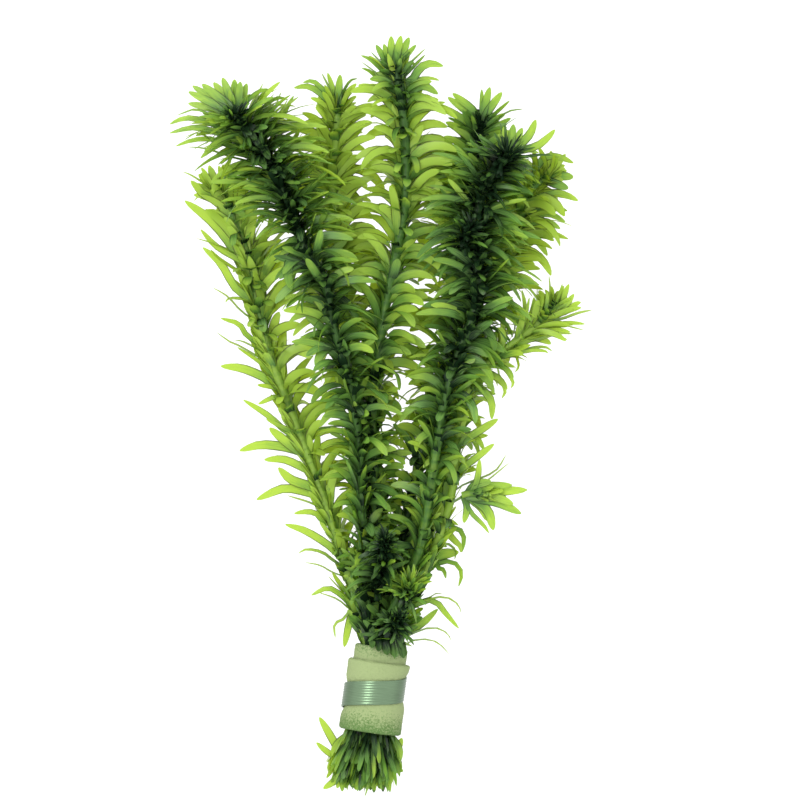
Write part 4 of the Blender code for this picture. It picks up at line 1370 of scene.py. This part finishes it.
def place_blades(shape, leaves):
    """Put a copy of the blade on every leaf's line. Returns corners and surface values."""
    row_of = np.abs(shape[:, 2, None] - ROWS[None, :]).argmin(axis=1)
    middle, across, upper = (
        np.array([getattr(leaf, name) for leaf in leaves])[:, row_of]
        for name in ("middle", "across", "upper")
    )
    length, width, tone = (
        np.array([getattr(leaf, name) for leaf in leaves])[:, None]
        for name in ("length", "width", "tone")
    )
    beside = (shape[:, 0] * width)[..., None]
    above = (shape[:, 1] * width)[..., None]
    corners = middle + across * beside + upper * above
    blank = np.zeros((len(leaves), len(shape)))
    values = np.stack([blank + shape[:, 0] * 2, blank + shape[:, 2], blank + tone], axis=2)
    number = np.arange(len(leaves))[:, None]
    apart = blank + number * GRAIN_SHIFT
    grain = np.stack([shape[:, 0] * width / MM, apart, shape[:, 2] * length / MM], axis=2)
    return corners.reshape(-1, 3), values.reshape(-1, 3), grain.reshape(-1, 3)


def write_surface(mesh, values, grain):
    """Store what the materials read: place on the blade with its tone, and place in millimetres."""
    for name, table in (("blade", values), ("grain", grain)):
        attribute = mesh.attributes.new(name, "FLOAT_VECTOR", "POINT")
        attribute.data.foreach_set("vector", np.asarray(table, dtype=np.float32).ravel())


def leaf_mesh(name, blade, leaves, material):
    """One mesh object of all the leaves of a shoot."""
    shape, faces = blade
    corners, values, grain = place_blades(shape, leaves)
    joined = []
    for number in range(len(leaves)):
        first = number * len(shape)
        joined.extend(tuple(first + corner for corner in face) for face in faces)
    mesh = bpy.data.meshes.new(name)
    mesh.from_pydata(corners.tolist(), [], joined)
    write_surface(mesh, values, grain)
    mesh.shade_smooth()
    mesh.set_sharp_from_angle(angle=SMOOTH_UP_TO)
    mesh.materials.append(material)
    piece = bpy.data.objects.new(name, mesh)
    bpy.context.scene.collection.objects.link(piece)
    return piece


def bend_bar(name, stem, nodes, settings):
    """Bend a round bar along the stem, swollen at every whorl, and turn it into a mesh."""
    curve = bpy.data.curves.new(name, "CURVE")
    curve.dimensions = "3D"
    curve.bevel_depth = 1.0
    curve.bevel_resolution = settings.sides // 2 - 2
    curve.use_fill_caps = True
    spline = curve.splines.new("POLY")
    places = np.arange(0, stem.length, STEM_STEP)
    spline.points.add(len(places) - 1)
    for point, place in zip(spline.points, places):
        gap = np.abs(nodes - place).min()
        swell = 1 + NODE_SWELL * max(0.0, 1 - gap / NODE_REACH)
        tip = min(1.0, STEM_POINT_SHARE + (stem.length - place) / STEM_POINT)
        point.co = (*stem.read(stem.points, place), 1)
        point.radius = stem.radius_at(place) * swell * tip
    bar = bpy.data.objects.new(name, curve)
    bpy.context.scene.collection.objects.link(bar)
    start_piece()
    bar.select_set(True)
    bpy.context.view_layer.objects.active = bar
    bpy.ops.object.convert(target="MESH")
    return bpy.context.object


def shade_bar(bar, shoot, stem, nodes, material):
    """Give a stem its material, its brightness of painted light and shade under crowded whorls, near the
    sleeve and at the nodes, and its lengthwise grain.
    """
    corners = np.array([vertex.co for vertex in bar.data.vertices])
    nearest = np.argmin(np.linalg.norm(corners[:, None, :] - stem.points[None, :, :], axis=2), axis=1)
    place = stem.stations[nearest]
    gap = np.abs(nodes[None, :] - place[:, None]).min(axis=1)
    heights = np.array([along_sleeve(corner) for corner in corners]) / MM
    gaps = np.array([habit_at(shoot, (stem.length - station) / MM).gap for station in stem.stations])
    tone = shoot.stalk * np.interp(heights, GATHER_PLACES, GATHER_SHADES)
    tone *= np.interp(gaps[nearest], STEM_SHADE_GAPS, STEM_SHADES)
    tone *= 1 - NODE_SHADE * np.clip(1 - gap / NODE_REACH, 0, 1)
    values = np.column_stack([np.zeros(len(corners)), place / stem.length, tone])
    away = corners - stem.points[nearest]
    side = stem.sides[nearest]
    other = np.cross(stem.tangents[nearest], side)
    grain = np.column_stack([(away * side).sum(1), (away * other).sum(1), place]) / MM
    write_surface(bar.data, values, grain)
    bar.data.materials.clear()
    bar.data.materials.append(material)
    bar.data.shade_smooth()
    bar.data.set_sharp_from_angle(angle=SMOOTH_UP_TO)


def hand_over(piece, node):
    """Let a finished piece stand for its solid."""
    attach(piece, "root")
    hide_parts(node)


def grow_shoot(shoot, number, blade, materials):
    """A finished shoot: its stem and all its leaves in one piece."""
    scene = bpy.context.scene
    rng = np.random.default_rng(FIRST_SEED + number)
    stem = Stem(shoot)
    distances = whorl_distances(shoot, stem, rng)
    leaves = shoot_leaves(shoot, stem, distances, scene.waterweed_leaf, rng)
    name = shoot.name.replace("shoot", "sprig")
    piece = leaf_mesh(name, blade, leaves, materials[0])
    bar = bend_bar(name + "_stem", stem, np.array(distances), scene.waterweed_stem)
    shade_bar(bar, shoot, stem, np.array(distances), materials[1])
    start_piece()
    bar.select_set(True)
    piece.select_set(True)
    bpy.context.view_layer.objects.active = piece
    bpy.ops.object.join()
    hand_over(piece, shoot.name)


def grow_shoots(shoots, first_number):
    """Grow shoots from one blade, with the two tissues that all shoots share."""
    blade = model_blade()
    materials = [
        bpy.data.materials.get(name) or make_tissue()
        for name, make_tissue in (("wet_leaf", leaf_tissue), ("wet_stem", stem_tissue))
    ]
    for number, shoot in enumerate(shoots, first_number):
        grow_shoot(shoot, number, blade, materials)


class WATERWEED_OT_long_shoots(bpy.types.Operator):
    """Grow the eight long shoots from the sleeve to their crowns"""

    bl_idname = "waterweed.long_shoots"
    bl_label = "Grow Long Shoots"

    def execute(self, context):
        grow_shoots(SHOOTS, 0)
        return {"FINISHED"}


class WATERWEED_OT_side_shoots(bpy.types.Operator):
    """Grow the five short side shoots"""

    bl_idname = "waterweed.side_shoots"
    bl_label = "Grow Side Shoots"

    def execute(self, context):
        grow_shoots(SIDE_SHOOTS, len(SHOOTS))
        return {"FINISHED"}


def band_place(turn_share):
    """Height of the strip's middle along the axis after a share of its one turn."""
    return (turn_share - 0.5) * BAND_RISE + BAND_SHIFT


def roll_sheet(sheet, settings, length):
    """Roll a flat sheet round the bundle's axis, each turn outside the last, pinched under the strip."""
    corners = np.array([vertex.co for vertex in sheet.data.vertices])
    half = np.array((length, settings.width)) / 2
    inward = np.clip((half - np.abs(corners[:, :2])).min(axis=1) / FOAM_EDGE, 0, 1)
    height = corners[:, 2] * np.sqrt(1 - (1 - inward) ** 2)
    share = corners[:, 0] / length + 0.5
    turn = FOAM_START - 2 * math.pi * settings.turns * share
    radius = FOAM_INNER_RADIUS + settings.thickness * (settings.turns * share + 0.5) + height
    step = np.clip((share - FOAM_STEP_START) / FOAM_STEP_LENGTH, 0, 1)
    along = corners[:, 1] + FOAM_STEP * (1 - step * step * (3 - 2 * step)) + FOAM_MIDDLE
    turn_share = np.mod(-turn - BAND_START, 2 * math.pi) / (2 * math.pi)
    pinch = np.zeros(len(corners))
    for lap in (-1, 0, 1):
        place = turn_share + lap
        beyond = np.maximum(-place, place - 1)
        fade = np.clip(1 - beyond / FOAM_PINCH_FADE, 0, 1)
        away = along - band_place(place)
        pinch = np.maximum(pinch, fade * np.exp(-((away / FOAM_PINCH_REACH) ** 4)))
    radius = FOAM_INNER_RADIUS + (radius - FOAM_INNER_RADIUS) * (1 - FOAM_PINCH * pinch)
    rolled = np.column_stack([radius * np.cos(turn), -radius * np.sin(turn), along])
    matrix = bundle_matrix()
    for vertex, corner in zip(sheet.data.vertices, rolled):
        vertex.co = matrix @ Vector(corner)
        vertex.co.z = max(vertex.co.z, FOAM_LOWEST)
    sheet.data.update()


class WATERWEED_OT_foam_sleeve(bpy.types.Operator):
    """Roll the foam sheet round the stems"""

    bl_idname = "waterweed.foam_sleeve"
    bl_label = "Roll Foam Sleeve"

    def execute(self, context):
        settings = context.scene.waterweed_foam
        length = settings.turns * 2 * math.pi * (FOAM_INNER_RADIUS + settings.thickness)
        start_piece()
        columns, rows = FOAM_GRID
        bpy.ops.mesh.primitive_grid_add(x_subdivisions=columns, y_subdivisions=rows, size=1)
        sheet = bpy.context.object
        sheet.name = "foam_roll"
        sheet.data.name = "foam_roll"
        sheet.scale = (length, settings.width, 1)
        bpy.ops.object.transform_apply(location=True, rotation=True, scale=True)
        wall = sheet.modifiers.new("wall", "SOLIDIFY")
        wall.thickness = settings.thickness - settings.pore_depth
        wall.offset = 0
        bpy.ops.object.modifier_apply(modifier=wall.name)
        pores = bpy.data.textures.new("foam_pores", "VORONOI")
        pores.noise_scale = settings.pore
        pits = sheet.modifiers.new("pits", "DISPLACE")
        pits.texture = pores
        pits.texture_coords = "LOCAL"
        pits.strength = settings.pore_depth
        pits.mid_level = 0.5
        bpy.ops.object.modifier_apply(modifier=pits.name)
        roll_sheet(sheet, settings, length)
        sheet.data.shade_smooth()
        sheet.data.materials.append(damp_foam(settings))
        hand_over(sheet, "foam_sleeve")
        return {"FINISHED"}


class WATERWEED_OT_metal_band(bpy.types.Operator):
    """Bend the ribbed metal strip once round the foam"""

    bl_idname = "waterweed.metal_band"
    bl_label = "Bend Metal Band"

    def execute(self, context):
        settings = context.scene.waterweed_band
        steps = settings.ridges * STEPS_PER_RIDGE
        start_piece()
        bpy.ops.mesh.primitive_plane_add(size=1)
        strip = bpy.context.object
        strip.name = "ribbed_strip"
        strip.data.name = "ribbed_strip"
        strip.scale = (settings.thickness, settings.width, 1)
        strip.rotation_euler = (math.pi / 2, 0, 0)
        strip.location = (BAND_RADIUS - settings.thickness / 2, 0, band_place(0))
        bpy.ops.object.transform_apply(location=True, rotation=True, scale=True)
        bpy.ops.object.mode_set(mode="EDIT")
        bpy.ops.mesh.select_all(action="SELECT")
        bpy.ops.mesh.delete(type="ONLY_FACE")
        for number in range(1, steps):
            height = band_place(0) - settings.width / 2 + settings.width * number / steps
            bpy.ops.mesh.select_all(action="SELECT")
            bpy.ops.mesh.bisect(plane_co=(0, 0, height), plane_no=(0, 0, 1))
        bpy.ops.object.mode_set(mode="OBJECT")
        for vertex in strip.data.vertices:
            share = (vertex.co.z - band_place(0)) / settings.width + 0.5
            groove = 0.5 + 0.5 * math.cos(2 * math.pi * settings.ridges * share)
            vertex.co.x -= settings.ridge_depth * groove
        screw = strip.modifiers.new("turn", "SCREW")
        screw.axis = "Z"
        screw.angle = 2 * math.pi
        screw.screw_offset = BAND_RISE
        screw.steps = screw.render_steps = BAND_STEPS
        screw.use_merge_vertices = False
        bpy.ops.object.modifier_apply(modifier=screw.name)
        bpy.ops.object.mode_set(mode="EDIT")
        bpy.ops.mesh.select_all(action="DESELECT")
        bpy.ops.mesh.select_non_manifold()
        bpy.ops.mesh.edge_face_add()
        bpy.ops.mesh.select_all(action="SELECT")
        bpy.ops.mesh.normals_make_consistent(inside=False)
        bpy.ops.object.mode_set(mode="OBJECT")
        turn = Matrix.Rotation(BAND_START, 4, "Z")
        strip.data.transform(bundle_matrix() @ turn)
        for vertex in strip.data.vertices:
            vertex.co.z = max(vertex.co.z, 0.0)
        strip.data.shade_smooth()
        strip.data.set_sharp_from_angle(angle=BAND_SHARP_EDGE)
        strip.data.materials.clear()
        strip.data.materials.append(rolled_zinc(settings))
        hand_over(strip, "metal_band")
        return {"FINISHED"}


class WATERWEED_OT_stage(bpy.types.Operator):
    """Set the glowing table, the soft light and the camera above the bunch"""

    bl_idname = "waterweed.stage"
    bl_label = "Set Stage"

    def execute(self, context):
        settings = context.scene.waterweed_stage
        start_piece()
        bpy.ops.mesh.primitive_circle_add(vertices=96, radius=TABLE_RADIUS, fill_type="NGON")
        table = bpy.context.object
        table.name = "light_table"
        table.data.materials.append(opal_glass(settings))

        world = bpy.data.worlds.new("soft_room")
        world.use_nodes = True
        background = world.node_tree.nodes["Background"]
        background.inputs["Color"].default_value = linear("FFFFFF")
        background.inputs["Strength"].default_value = settings.sky
        context.scene.world = world
        context.scene.view_settings.view_transform = "Standard"
        # Light passes many thin leaves on its way through the bunch
        context.scene.cycles.diffuse_bounces = settings.leaf_bounces

        bpy.ops.object.light_add(type="AREA", location=LAMP_PLACE)
        lamp = bpy.context.object
        lamp.name = "soft_lamp"
        lamp.data.energy = settings.key
        lamp.data.size = LAMP_SIZE
        lamp.rotation_euler = (-lamp.location).to_track_quat("-Z", "Y").to_euler()

        place = (BUNDLE_X + settings.view_right, BUNDLE_Y + settings.view_up, settings.view_height)
        bpy.ops.object.camera_add(location=place, rotation=(0, 0, 0))
        camera = bpy.context.object
        camera.data.sensor_width = SENSOR_WIDTH
        camera.data.lens = SENSOR_WIDTH * (settings.view_height - VIEW_PLANE) / settings.view_width
        camera.data.clip_start, camera.data.clip_end = CLIP_RANGE
        context.scene.camera = camera
        return {"FINISHED"}


class WATERWEED_PT_panel(bpy.types.Panel):
    """Steps that dress the bunch"""

    bl_label = "Waterweed"
    bl_idname = "WATERWEED_PT_panel"
    bl_space_type = "VIEW_3D"
    bl_region_type = "UI"
    bl_category = "Waterweed"

    def draw(self, context):
        for operator in STEPS:
            self.layout.operator(operator.bl_idname)
        for group in SETTINGS:
            box = self.layout.box()
            for name in SETTINGS[group].__annotations__:
                box.prop(getattr(context.scene, group), name)


STEPS = [
    WATERWEED_OT_stage,
    WATERWEED_OT_long_shoots,
    WATERWEED_OT_side_shoots,
    WATERWEED_OT_foam_sleeve,
    WATERWEED_OT_metal_band,
]
SETTINGS = {
    "waterweed_leaf": LeafSettings,
    "waterweed_stem": StemSettings,
    "waterweed_foam": FoamSettings,
    "waterweed_band": BandSettings,
    "waterweed_stage": StageSettings,
}


def register():
    """Register the settings, the operators and the panel."""
    for name, group in SETTINGS.items():
        bpy.utils.register_class(group)
        setattr(bpy.types.Scene, name, bpy.props.PointerProperty(type=group))
    for part in (*STEPS, WATERWEED_PT_panel):
        bpy.utils.register_class(part)


def unregister():
    """Remove the panel, the operators and the settings again."""
    for part in (WATERWEED_PT_panel, *reversed(STEPS)):
        bpy.utils.unregister_class(part)
    for name, group in SETTINGS.items():
        delattr(bpy.types.Scene, name)
        bpy.utils.unregister_class(group)


def main():
    """Run every step in order."""
    register()
    bpy.ops.waterweed.stage()
    bpy.ops.waterweed.long_shoots()
    bpy.ops.waterweed.side_shoots()
    bpy.ops.waterweed.foam_sleeve()
    bpy.ops.waterweed.metal_band()


if __name__ == "__main__":
    main()
